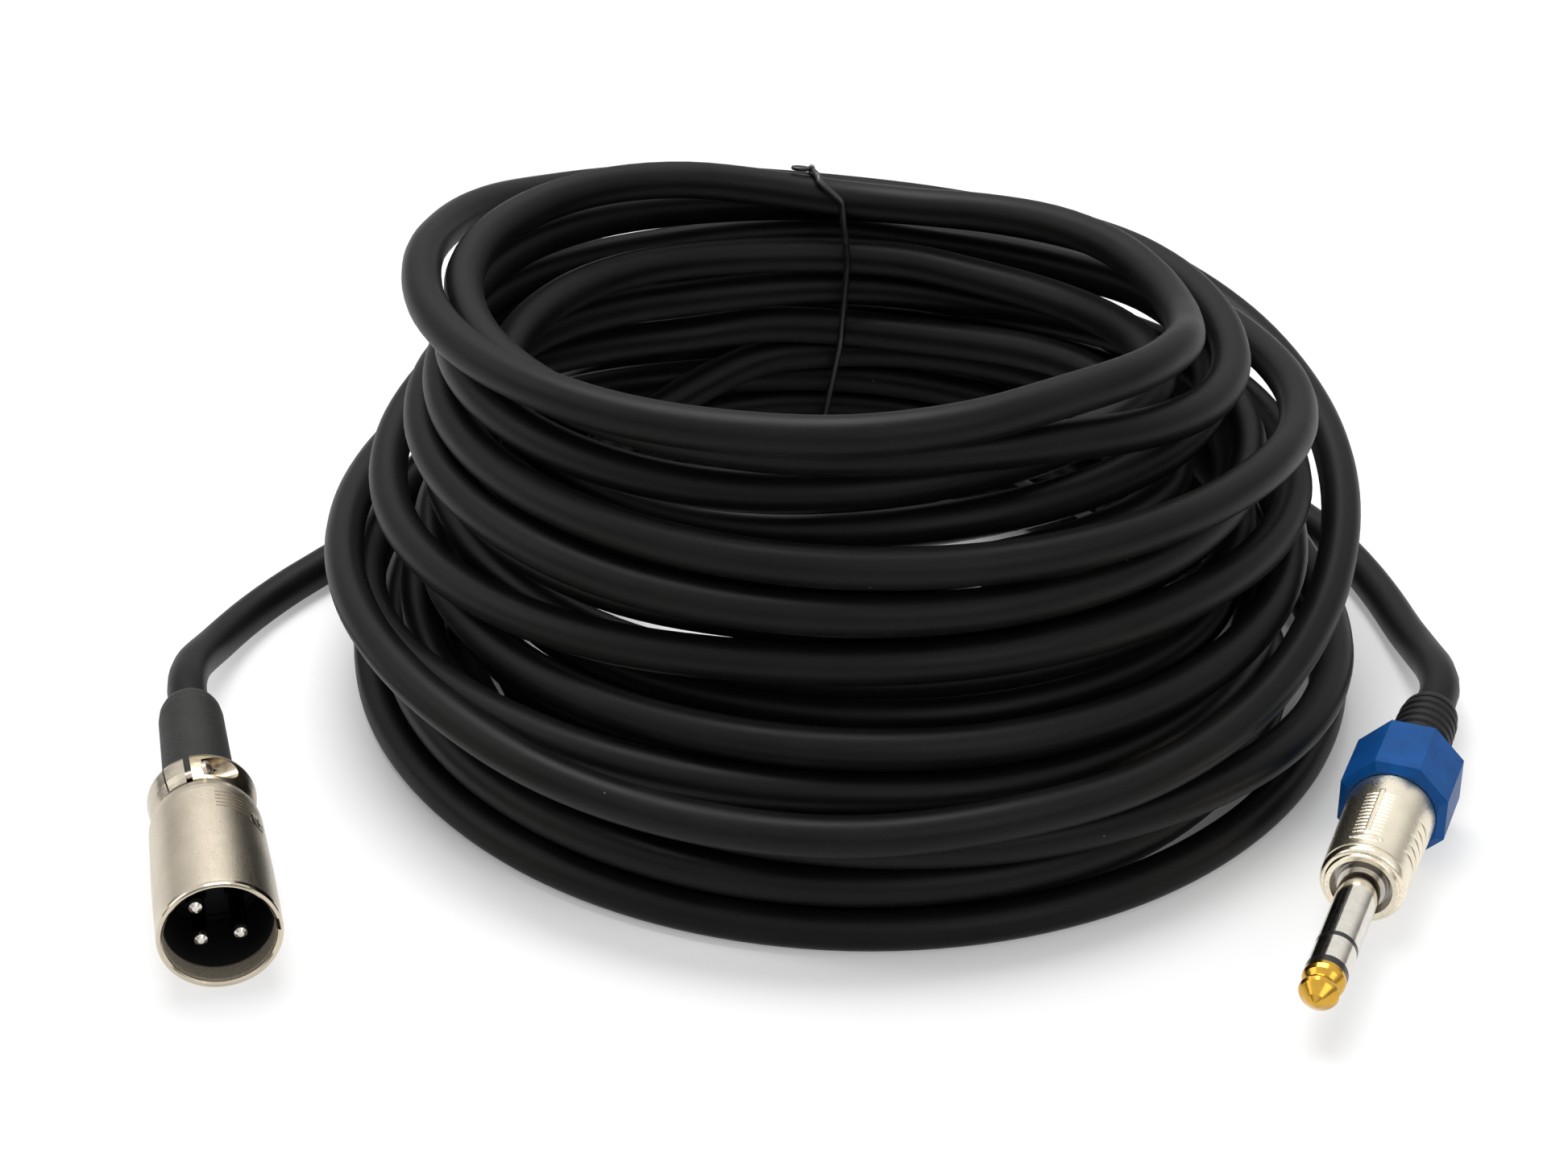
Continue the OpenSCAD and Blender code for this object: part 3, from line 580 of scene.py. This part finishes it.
def stranded_copper():
    """Bare copper with the strands' lay."""
    m, tree, shader = new_finish("stranded_copper", (0.72, 0.36, 0.2), 0.3, 1.0)
    here = own_place(tree)
    strand = add(tree, "ShaderNodeTexWave", {"Vector": here, "Scale": 900.0, "Distortion": 1.5})
    drives(tree, shader, Roughness=between(tree, strand.outputs["Fac"], 0.0, 1.0, 0.22, 0.42))
    bumped(tree, shader, strand.outputs["Fac"], 0.00008)
    return m


def dress(names, material):
    """Gives the solids of those names one finish."""
    for n in names:
        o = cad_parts[n]
        if not o.material_slots:
            o.data.materials.append(material)
        for s in o.material_slots:
            s.material = material


# ---- geometry node trees


def new_tree(name, inputs):
    """An empty tree with a geometry input, the named inputs and a geometry output."""
    g = bpy.data.node_groups.new(name, "GeometryNodeTree")
    g.interface.new_socket("Geometry", in_out="INPUT", socket_type="NodeSocketGeometry")
    for label, kind in inputs:
        g.interface.new_socket(label, in_out="INPUT", socket_type="NodeSocket" + kind)
    g.interface.new_socket("Geometry", in_out="OUTPUT", socket_type="NodeSocketGeometry")
    return g, add(g, "NodeGroupInput").outputs, add(g, "NodeGroupOutput")


def finished(g, given, out, shape):
    """Gives the shape its finish and sends it out of the tree."""
    done = add(g, "GeometryNodeSetMaterial", {0: shape.outputs[0], "Material": given["Finish"]})
    g.links.new(done.outputs[0], out.inputs[0])
    return g


def round_section_tree():
    """Sweeps a round section along a line, and keeps where each point lies on it."""
    g, given, out = new_tree("round_section", [
        ("Diameter", "Float"), ("Sides", "Int"), ("Finish", "Material")])
    line = add(g, "GeometryNodeMeshToCurve", {0: given["Geometry"]})
    reach = add(g, "GeometryNodeSplineParameter")
    marked = add(g, "GeometryNodeStoreNamedAttribute", {
        "Geometry": line.outputs[0], "Name": "along", "Value": reach.outputs["Length"]},
        data_type="FLOAT", domain="POINT")
    circle = add(g, "GeometryNodeCurvePrimitiveCircle", {
        "Resolution": given["Sides"],
        "Radius": sums(g, "MULTIPLY", given["Diameter"], 0.5)})
    spot = add(g, "GeometryNodeInputPosition")
    rim = add(g, "GeometryNodeStoreNamedAttribute", {
        "Geometry": circle.outputs[0], "Name": "across", "Value": spot.outputs[0]},
        data_type="FLOAT_VECTOR", domain="POINT")
    swept = add(g, "GeometryNodeCurveToMesh", {
        "Curve": marked.outputs[0], "Profile Curve": rim.outputs[0], "Fill Caps": True})
    soft = add(g, "GeometryNodeSetShadeSmooth", {0: swept.outputs[0]})
    real = add(g, "GeometryNodeRealizeInstances", {0: soft.outputs[0]})
    return finished(g, given, out, real)


def rib_column_tree():
    """Rows of short raised arcs round a barrel, from a start angle, one pitch apart."""
    g, given, out = new_tree("rib_column", [
        ("Radius", "Float"), ("Start", "Float"), ("Sweep", "Float"), ("Count", "Int"),
        ("Pitch", "Float"), ("Width", "Float"), ("First", "Float"), ("Growth", "Float"),
        ("Turn", "Vector"), ("Place", "Vector"), ("Finish", "Material")])
    arc = add(g, "GeometryNodeCurveArc", {
        "Resolution": 12, "Radius": given["Radius"], "Start Angle": given["Start"],
        "Sweep Angle": given["Sweep"]})
    section = add(g, "GeometryNodeCurvePrimitiveCircle", {
        "Resolution": 8, "Radius": sums(g, "MULTIPLY", given["Width"], 0.5)})
    rib = add(g, "GeometryNodeCurveToMesh", {
        "Curve": arc.outputs[0], "Profile Curve": section.outputs[0], "Fill Caps": True})
    smooth = add(g, "GeometryNodeSetShadeSmooth", {0: rib.outputs[0]})
    step = add(g, "ShaderNodeCombineXYZ", {2: sums(g, "MULTIPLY", given["Pitch"], -1.0)})
    start = add(g, "ShaderNodeCombineXYZ", {2: given["First"]})
    rows = add(g, "GeometryNodeMeshLine", {
        "Count": given["Count"], "Start Location": start.outputs[0],
        "Offset": step.outputs[0]})
    index = add(g, "GeometryNodeInputIndex").outputs[0]
    grown = add(g, "ShaderNodeMath", {0: index, 1: given["Growth"], 2: 1.0},
                operation="MULTIPLY_ADD").outputs[0]
    size = add(g, "ShaderNodeCombineXYZ", {0: grown, 1: grown, 2: 1.0})
    laid = add(g, "GeometryNodeInstanceOnPoints", {
        "Points": rows.outputs[0], "Instance": smooth.outputs[0], "Scale": size.outputs[0]})
    real = add(g, "GeometryNodeRealizeInstances", {0: laid.outputs[0]})
    set_down = add(g, "GeometryNodeTransform", {
        0: real.outputs[0], "Translation": given["Place"],
        "Rotation": given["Turn"]})
    return finished(g, given, out, set_down)


def grown_mesh(name, source, tree, inputs):
    """Runs a tree over a mesh once and returns its result as a plain piece."""
    holder = bpy.data.objects.new(name + "_source", source)
    bpy.context.scene.collection.objects.link(holder)
    mod = holder.modifiers.new("grow", "NODES")
    mod.node_group = tree
    for item in tree.interface.items_tree:
        if item.in_out == "INPUT" and item.name in inputs:
            mod[item.identifier] = inputs[item.name]
    holder.update_tag()
    graph = bpy.context.evaluated_depsgraph_get()
    mesh = bpy.data.meshes.new_from_object(
        holder.evaluated_get(graph), preserve_all_data_layers=True, depsgraph=graph)
    mesh.name = name
    holder.modifiers.clear()
    bpy.data.objects.remove(holder)
    if not len(mesh.polygons):
        raise RuntimeError(name + " came out empty")
    return piece(name, mesh)


def piece(name, mesh):
    """The mesh as an object at the origin."""
    o = bpy.data.objects.new(name, mesh)
    bpy.context.scene.collection.objects.link(o)
    return o


def line_mesh(name, points, closed=False):
    """The points joined one to the next by edges."""
    mesh = bpy.data.meshes.new(name)
    edges = [(i, i + 1) for i in range(len(points) - 1)]
    if closed:
        edges.append((len(points) - 1, 0))
    mesh.from_pydata([tuple(p) for p in points], edges, [])
    return mesh


# ---- operators


class AUDIOCABLE_OT_stage(bpy.types.Operator):
    """Camera, lamps, surroundings and floor"""

    bl_idname = "audiocable.stage"
    bl_label = "Stage"

    def execute(self, context):
        scene, colours = context.scene, context.scene.audio_cable.colours
        scene.view_settings.view_transform = "Standard"
        lens = bpy.data.cameras.new("camera")
        lens.sensor_width, lens.lens = 36.0, 74.53
        lens.clip_start, lens.clip_end = 0.01, 20.0
        camera = bpy.data.objects.new("camera", lens)
        camera.location = (-0.0049, -0.4681, 0.288)
        camera.rotation_euler = (radians(60), 0.0, 0.0)
        scene.collection.objects.link(camera)
        scene.camera = camera

        aim = Vector((0, 0, 0.03))
        for name, place, size, energy in (
                ("top_softbox", (-0.12, 0.30, 1.05), 0.7, 12.0),
                ("front_fill", (0.55, -0.95, 0.65), 0.6, 1.6),
                ("left_fill", (-1.0, 0.05, 0.60), 0.6, 1.4)):
            data = bpy.data.lights.new(name, "AREA")
            data.shape, data.size, data.energy = "SQUARE", size, energy
            lamp = bpy.data.objects.new(name, data)
            lamp.location = place
            towards = aim - Vector(place)
            lamp.rotation_euler = towards.to_track_quat("-Z", "Y").to_euler()
            scene.collection.objects.link(lamp)

        world = bpy.data.worlds.new("tent")
        scene.world = world
        world.use_nodes = True
        t = world.node_tree
        t.nodes.clear()
        # a white tent that is brightest overhead and plain white to the camera
        ray = add(t, "ShaderNodeLightPath")
        sky = add(t, "ShaderNodeTexCoord").outputs["Generated"]
        height = add(t, "ShaderNodeSeparateXYZ", {0: sky}).outputs[2]
        lights = between(t, height, 0.0, 0.8, 0.22, 0.5)
        shows = between(t, height, 0.06, 0.55, 0.3, 1.0)
        level = sums(t, "MAXIMUM", sums(t, "MULTIPLY", ray.outputs["Is Glossy Ray"], shows), lights)
        straight = sums(t, "MAXIMUM", ray.outputs["Is Camera Ray"],
                        ray.outputs["Is Transmission Ray"])
        dim = add(t, "ShaderNodeBackground", {0: (1, 1, 1, 1), 1: level})
        white = add(t, "ShaderNodeBackground", {0: (1, 1, 1, 1), 1: 1.0})
        both = add(t, "ShaderNodeMixShader", {0: straight, 1: dim.outputs[0], 2: white.outputs[0]})
        end = add(t, "ShaderNodeOutputWorld")
        t.links.new(both.outputs[0], end.inputs[0])

        mesh = bpy.data.meshes.new("floor")
        n, reach = 24, 4.0
        ring = [(reach * cos(2 * pi * k / n), reach * sin(2 * pi * k / n), 0.0) for k in range(n)]
        mesh.from_pydata(ring, [], [tuple(range(n))])
        m, tree, shader = new_finish("pale_floor", colours.floor, 0.9, Specular_IOR_Level=0.1)
        here = own_place(tree)
        scuffs = noise(tree, here, 40, 3.0)
        drives(tree, shader, Roughness=between(tree, scuffs, 0.3, 0.7, 0.85, 0.95))
        parts = add(tree, "ShaderNodeSeparateXYZ", {0: here})
        off = [sums(tree, "SUBTRACT", parts.outputs[k], COIL_MID[k] - MIDDLE[k]) for k in (0, 1)]
        away = sums(tree, "SQRT", sums(tree, "ADD", *[sums(tree, "MULTIPLY", v, v) for v in off]))
        # the backdrop's own white fades out under the coil, where the shadow lies
        faded = between(tree, away, 0.070, 0.118, 0.0, 0.66)
        share = sums(tree, "MULTIPLY", self.seen_rays(tree), faded)
        glow = add(tree, "ShaderNodeEmission", {0: (1, 1, 1, 1), 1: 1.0})
        mixed = add(tree, "ShaderNodeMixShader", {
            0: share, 1: shader.outputs[0], 2: glow.outputs[0]})
        tree.links.new(mixed.outputs[0], tree.nodes["Material Output"].inputs[0])
        mesh.materials.append(m)
        piece("floor", mesh)
        return {"FINISHED"}

    @staticmethod
    def seen_rays(tree):
        """1 for what the camera, a reflection or clear glass sees."""
        ray = add(tree, "ShaderNodeLightPath")
        either = sums(tree, "MAXIMUM", ray.outputs["Is Camera Ray"], ray.outputs["Is Glossy Ray"])
        return sums(tree, "MAXIMUM", either, ray.outputs["Is Transmission Ray"])


class AUDIOCABLE_OT_cable(bpy.types.Operator):
    """The cable: its winding and both free runs, as one cord"""

    bl_idname = "audiocable.cable"
    bl_label = "Cable"

    def execute(self, context):
        s = context.scene.audio_cable
        c = s.cable
        route = smooth_line(cable_route(c, s.plugs, s.tie), ROUTE_SPACING)
        cable = grown_mesh("cable", line_mesh("cable_line", route), round_section_tree(), {
            "Diameter": c.jacket_diameter, "Sides": c.round_sides,
            "Finish": satin_jacket(s.colours.jacket)})
        for v in cable.data.vertices:            # the lowest loops are pressed flat on the floor
            v.co.z = max(0.0, v.co.z)
        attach(cable, "cable_and_plugs")
        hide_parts("cable_coil", "cable_tail_xlr", "cable_tail_jack")
        return {"FINISHED"}


class AUDIOCABLE_OT_tie(bpy.types.Operator):
    """The wire tie round the back of the coil, with its twisted ends"""

    bl_idname = "audiocable.tie"
    bl_label = "Wire tie"

    # how far the band lies to the side, by its length in metres from where its ends meet
    LEAN = [(0, -0.0046), (0.003, -0.0036), (0.0075, 0.0006), (0.0115, 0.0016), (0.017, 0.0015),
            (0.036, 0.0003), (0.056, -0.0026), (0.072, -0.0046)]
    ENDS_AT = 18                   # which point of the band the ends leave from
    SLACK = 0.00025                # clear between the band and the cable

    def execute(self, context):
        s = context.scene.audio_cable
        w = Winding(s.cable, s.tie.tie_diameter)
        d = s.tie.tie_diameter
        straight = [self.ring_point(w, s, k, 0.0) for k in range(BAND_POINTS)]
        ring, length = [], 0.0
        for n in range(BAND_POINTS):
            k = (n + self.ENDS_AT) % BAND_POINTS
            ring.append(self.ring_point(w, s, k, keyed(self.LEAN, length)))
            length += (straight[(k + 1) % BAND_POINTS] - straight[k]).length
        finish, tree = coated_wire(), round_section_tree()
        body = grown_mesh("tie_band", line_mesh("tie_line", ring, closed=True), tree, {
            "Diameter": d, "Sides": 10, "Finish": finish})
        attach(body, "cable_and_plugs")
        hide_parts("coil_tie")
        wire = line_mesh("twist_line", self.twisted_ends(ring[0], s.tie))
        ends = grown_mesh("tie_twist", wire, tree, {
            "Diameter": d * 0.62, "Sides": 8, "Finish": finish})
        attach(ends, "cable_and_plugs")
        return {"FINISHED"}

    def ring_point(self, w, s, k, x):
        """Point k of the band round the bundle of loops, x to the side of the coil's middle."""
        a, d = radians(360 // BAND_POINTS * k), s.tie.tie_diameter
        off = s.cable.jacket_diameter / 2 + d / 2 + self.SLACK
        held = [self.where_crossed(w, i, x) for i in range(TIE_STEP, w.last + 1, STEPS)]
        best = max(held, key=lambda q: q.y * cos(a) + q.z * sin(a))
        up = max(d / 2, best.z + off * sin(a))
        return Vector((COIL_MID[0] + x, best.y + off * cos(a), up)) - MIDDLE

    @staticmethod
    def where_crossed(w, i, x):
        """Where the loop through step i passes x beside the coil's middle."""
        before, here, after = w.place(max(0, i - 1)), w.place(i), w.place(min(w.last, i + 1))
        f = (x - (here.x - COIL_MID[0])) / ((after.x - before.x) / 2)
        return here + (after - before) * (f / 2) + (after - 2 * here + before) * (f * f / 2)

    @staticmethod
    def twisted_ends(root, t):
        """One wire out along the twist, round a small eye and back again."""
        out, up = Vector((-0.985, -0.12, 0.12)).normalized(), Vector((0.0, 0.2, 0.98))
        side = out.cross(up).normalized()
        up = side.cross(out)
        wrap, reach = t.tie_diameter * 0.33, t.twist_length
        line = []
        for k in range(121):
            a = abs(k / 60 - 1)              # 1 at both roots, 0 at the tip of the eye
            far = 1 - a
            open_up = ease((far - 0.2) / 0.3) * sqrt(max(0.0, 1 - max(0.0, (far - 0.6) / 0.4) ** 2))
            r = wrap * (1 - ease((far - 0.2) / 0.3)) + t.eye_width / 2 * open_up
            turn = pi * t.twist_turns * min(far, 0.3) / 0.3 + (0 if k <= 60 else pi)
            line.append(root + out * reach * far + up * t.tie_diameter * 0.35
                        + r * (cos(turn) * side + 0.5 * sin(turn) * up))
        return line


class AUDIOCABLE_OT_three_pin_plug(bpy.types.Operator):
    """Finishes of the three-pin plug"""

    bl_idname = "audiocable.three_pin_plug"
    bl_label = "Three-pin plug"

    def execute(self, context):
        s = context.scene.audio_cable
        at = (plug_places(s.cable, s.plugs)[0], XLR_YAW)
        dress(["xlr_shell"], blasted_nickel(s.colours.nickel, at, s.plugs))
        dress(["xlr_clamp_saddle", "xlr_clamp_screw_top", "xlr_clamp_screw_bottom",
               "xlr_insert_screw"], turned_nickel("bright_nickel", (0.54, 0.48, 0.39), at, 0.2))
        # painted shade: the pins darken below their tips, standing in for the dark cup they reflect
        pins = turned_nickel("pin_nickel", (0.7, 0.66, 0.6), at, 0.14, (-0.0046, -0.0052, 0.02))
        dress(["xlr_pin_1", "xlr_pin_2", "xlr_pin_3"], pins)
        dress(["xlr_insert"], moulded("insert_black", DARK, 0.38))
        dress(["xlr_boot"], moulded("boot_grey", s.colours.boot, 0.62, 2600.0, 0.00003,
                                    Specular_IOR_Level=0.3))
        return {"FINISHED"}


class AUDIOCABLE_OT_jack_plug(bpy.types.Operator):
    """Finishes of the jack plug"""

    bl_idname = "audiocable.jack_plug"
    bl_label = "Jack plug"

    def execute(self, context):
        s = context.scene.audio_cable
        at = (plug_places(s.cable, s.plugs)[1], JACK_YAW)
        dress(["jack_tip"], turned_nickel("gold_plate", s.colours.gold, at, 0.18))
        # painted shade: the ring and sleeve darken behind the barrel's face, where they sit in its
        # recess
        contacts = turned_nickel("contact_nickel", (0.74, 0.7, 0.63), at, 0.12,
                                 (-0.0001, -0.0004, 0.42))
        dress(["jack_ring", "jack_sleeve"], contacts)
        dress(["jack_ground_strip"], turned_nickel("strip_nickel", (0.7, 0.66, 0.6), at, 0.22))
        dress(["jack_tip_insulator", "jack_ring_insulator"], moulded("insulator_black", DARK, 0.3))
        dress(["jack_gland_nut"], moulded("nut_blue", s.colours.nut, 0.42, 2400.0, 0.00002,
                                          Specular_IOR_Level=0.14))
        dress(["jack_boot"], moulded("boot_black", (0.0045, 0.0045, 0.0043), 0.5, 2600.0, 0.00002,
                                     Specular_IOR_Level=0.25))
        dress(["jack_chuck"], moulded("chuck_natural", (0.78, 0.75, 0.67), 0.45))
        dress(["jack_liner"], moulded("liner_dark", (0.03, 0.03, 0.03), 0.4))
        return {"FINISHED"}


class AUDIOCABLE_OT_jack_barrel(bpy.types.Operator):
    """The jack's barrel, with its stepped arcs, its raised bars and the thread behind"""

    bl_idname = "audiocable.jack_barrel"
    bl_label = "Jack barrel"

    # sizes in mm, distances from the face, and angles in degrees round the axis
    ARCS, ARC_PITCH, ARC_FIRST, ARC_DEPTH = 5, 2.27, 5.4, 0.42
    BAR_FROM, BAR_TO = 94.5, 101.0
    CROSS_MIDDLE, CROSS_HALF, CROSS_S = 97.0, 23.0, 4.1
    BORE, WALL = 4.7, 1.7          # radius of the hole in the face, and how thick the face is
    SATIN_FROM, SATIN_ROWS = 2.2, 170            # where the satin starts, and rings on it
    # the thread is drawn left-handed, while the nut turns right-handed at 1 mm a turn
    THREAD, THREAD_ROWS, THREAD_PITCH, THREAD_DEPTH = 5.5, 55, 0.75, 0.2

    def relief(self, a, s):
        """How far the satin surface stands out, in mm, at the angle a and s mm behind the face."""
        out = 0.0
        # the two sides mirror each other
        side = a if a < self.CROSS_MIDDLE else 2 * self.CROSS_MIDDLE - a
        for k in range(self.ARCS):
            first = self.ARC_FIRST + self.ARC_PITCH * k
            taper = sqrt(ease((46 - k - side) / 22)) * ease((side + 70) / 20)
            t = (s - first) / (1.25 * taper) if taper > 0.05 else -1
            if 0 <= t <= 1:
                out -= self.ARC_DEPTH * taper * (t / 0.8 if t < 0.8 else (1 - t) / 0.2)
        edge = ease(a - self.BAR_FROM + 0.5) * ease(self.BAR_TO + 0.5 - a)
        out += 0.13 * edge * ease((s - 5.1) / 0.2) * ease((17.2 - s) / 0.3)
        x = (a - self.CROSS_MIDDLE) / self.CROSS_HALF
        if abs(x) < 1:
            half = 0.25 + 0.3 * sqrt(1 - x * x)
            out += 0.24 * ease((half - abs(s - self.CROSS_S)) / 0.18) * ease((1 - abs(x)) / 0.06)
        return out

    def profile(self, p):
        """Radius and z of each ring in mm, with the ring's kind, from the face round and back."""
        r, length, taper = p.barrel_diameter * 500, JACK_BARREL * 1000, BARREL_TAPER * 1000
        under, inner = r - 0.7, r - 1.6              # under the thread, and the inside wall
        face = [(self.BORE, 0), (r - 1.45, 0), (r - 1.25, -0.2), (r - 1.2, -0.5), (r - 1, -0.5),
                (r - 0.7, -0.65), (r - 0.45, -1.1), (r - 0.4, -1.7), (r - 0.55, -1.8),
                (r - 0.55, -2.1)]
        rows = [(a, z, "plain") for a, z in face]
        for k in range(self.SATIN_ROWS + 1):
            s = self.SATIN_FROM + (length - self.SATIN_FROM) * k / self.SATIN_ROWS
            rows.append((r - taper + taper * s / length, -s, "satin"))
        rows.append((under, -length, "plain"))
        for k in range(1, self.THREAD_ROWS + 1):
            rows.append((under, -length - self.THREAD / self.THREAD_ROWS * k, "thread"))
        back = [(inner, -length - self.THREAD), (inner, -self.WALL), (self.BORE, -self.WALL)]
        return rows + [(a, z, "plain") for a, z in back]

    def angles(self):
        """Where the rings' points lie: close together across the columns and bars."""
        fine = [72 + 0.6 * k for k in range(84)]
        sides = [-75 + 1.8 * k for k in range(82)] + [122.5 + 1.8 * k for k in range(83)]
        return sorted(fine + sides)

    def execute(self, context):
        s = context.scene.audio_cable
        at = plug_places(s.cable, s.plugs)[1]
        turn, angles, rows = plug_turn(JACK_YAW).to_matrix(), self.angles(), self.profile(s.plugs)
        place, end = at - MIDDLE, JACK_BARREL * 1000 + self.THREAD
        n, verts, faces, sunk = len(angles), [], [], []
        for r, z, kind in rows:
            for a in angles:
                out, deep_shade = 0.0, 0.0
                if kind == "satin":
                    out = self.relief(a, -z)
                    deep_shade = max(0.0, -out / self.ARC_DEPTH)
                elif kind == "thread":
                    cut = abs(((-z / self.THREAD_PITCH - a / 360) % 1) * 2 - 1)
                    out = -self.THREAD_DEPTH * cut * ease((end + z) / 0.3)
                t = radians(a)
                sunk.append(deep_shade)
                spot = Vector(((r + out) * cos(t), (r + out) * sin(t), z))
                verts.append(place + turn @ spot / 1000)
        for i in range(len(rows)):
            j = (i + 1) % len(rows)
            for k in range(n):
                m = (k + 1) % n
                faces.append((i * n + k, j * n + k, j * n + m, i * n + m))
        mesh = bpy.data.meshes.new("jack_barrel_satin")
        mesh.from_pydata([tuple(v) for v in verts], [], faces)
        mesh.attributes.new("sunk", "FLOAT", "POINT").data.foreach_set("value", sunk)
        mesh.polygons.foreach_set("use_smooth", [True] * len(mesh.polygons))
        mesh.set_sharp_from_angle(angle=radians(38))
        mesh.materials.append(satin_barrel((0.88, 0.80, 0.64), (at, JACK_YAW)))
        barrel = piece("jack_barrel_satin", mesh)
        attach(barrel, "cable_and_plugs")
        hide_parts("jack_barrel")
        return {"FINISHED"}


class AUDIOCABLE_OT_grip_ribs(bpy.types.Operator):
    """The two columns of fine ribs on the jack's barrel"""

    bl_idname = "audiocable.grip_ribs"
    bl_label = "Grip ribs"

    def execute(self, context):
        s = context.scene.audio_cable
        p = s.plugs
        place, turn = plug_places(s.cable, p)[1] - MIDDLE, plug_turn(JACK_YAW)
        tree, finish = rib_column_tree(), bpy.data.materials["barrel_nickel"]
        first = -0.0055                # where the first rib lies behind the face
        r0 = p.barrel_diameter / 2 - BARREL_TAPER - BARREL_TAPER * first / JACK_BARREL
        for name, start, end in (("grip_ribs_left", 101.5, 117.0), ("grip_ribs_right", 79.0, 94.0)):
            ribs = grown_mesh(name, bpy.data.meshes.new(name), tree, {
                "Radius": r0 - p.rib_width * 0.26,
                "Start": radians(start), "Sweep": radians(end - start),
                "Count": p.grip_ribs, "Pitch": p.rib_pitch, "Width": p.rib_width, "First": first,
                "Growth": BARREL_TAPER / JACK_BARREL * p.rib_pitch / r0,
                "Turn": tuple(turn), "Place": tuple(place), "Finish": finish})
            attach(ribs, "cable_and_plugs")
        return {"FINISHED"}


class AUDIOCABLE_OT_wiring(bpy.types.Operator):
    """Finishes of the cores and screens inside the plugs"""

    bl_idname = "audiocable.wiring"
    bl_label = "Wiring"

    def execute(self, context):
        dress(["xlr_core_hot", "jack_core_hot"], moulded("core_red", (0.45, 0.02, 0.015), 0.4))
        dress(["xlr_core_cold", "jack_core_cold"], moulded("core_white", (0.78, 0.77, 0.73), 0.4))
        dress(["xlr_shield_lead", "jack_shield_lead"], stranded_copper())
        return {"FINISHED"}


class AUDIOCABLE_PT_sidebar(bpy.types.Panel):
    """Lists what the cable is made of"""

    bl_idname = "AUDIOCABLE_PT_sidebar"
    bl_label = "Audio Cable"
    bl_space_type = "VIEW_3D"
    bl_region_type = "UI"
    bl_category = "Audio Cable"

    def draw(self, context):
        s = context.scene.audio_cable
        for group in (s.cable, s.tie, s.plugs, s.colours):
            box = self.layout.box()
            for prop in group.bl_rna.properties:
                if not prop.is_readonly and prop.identifier != "name":
                    box.prop(group, prop.identifier)
        for operator in STEPS_IN_ORDER:
            self.layout.operator(operator.bl_idname)


STEPS_IN_ORDER = (AUDIOCABLE_OT_stage, AUDIOCABLE_OT_cable, AUDIOCABLE_OT_tie,
                  AUDIOCABLE_OT_three_pin_plug, AUDIOCABLE_OT_jack_plug,
                  AUDIOCABLE_OT_jack_barrel, AUDIOCABLE_OT_grip_ribs, AUDIOCABLE_OT_wiring)
CLASSES = (CableSizes, TieSizes, PlugSizes, Colours, AudioCable, *STEPS_IN_ORDER,
           AUDIOCABLE_PT_sidebar)


def register():
    for c in CLASSES:
        bpy.utils.register_class(c)
    bpy.types.Scene.audio_cable = PointerProperty(type=AudioCable)


def unregister():
    del bpy.types.Scene.audio_cable
    for c in reversed(CLASSES):
        bpy.utils.unregister_class(c)


def main():
    register()
    bpy.ops.audiocable.stage()
    bpy.ops.audiocable.cable()
    bpy.ops.audiocable.tie()
    bpy.ops.audiocable.three_pin_plug()
    bpy.ops.audiocable.jack_plug()
    bpy.ops.audiocable.jack_barrel()
    bpy.ops.audiocable.grip_ribs()
    bpy.ops.audiocable.wiring()


if __name__ == "__main__":
    main()
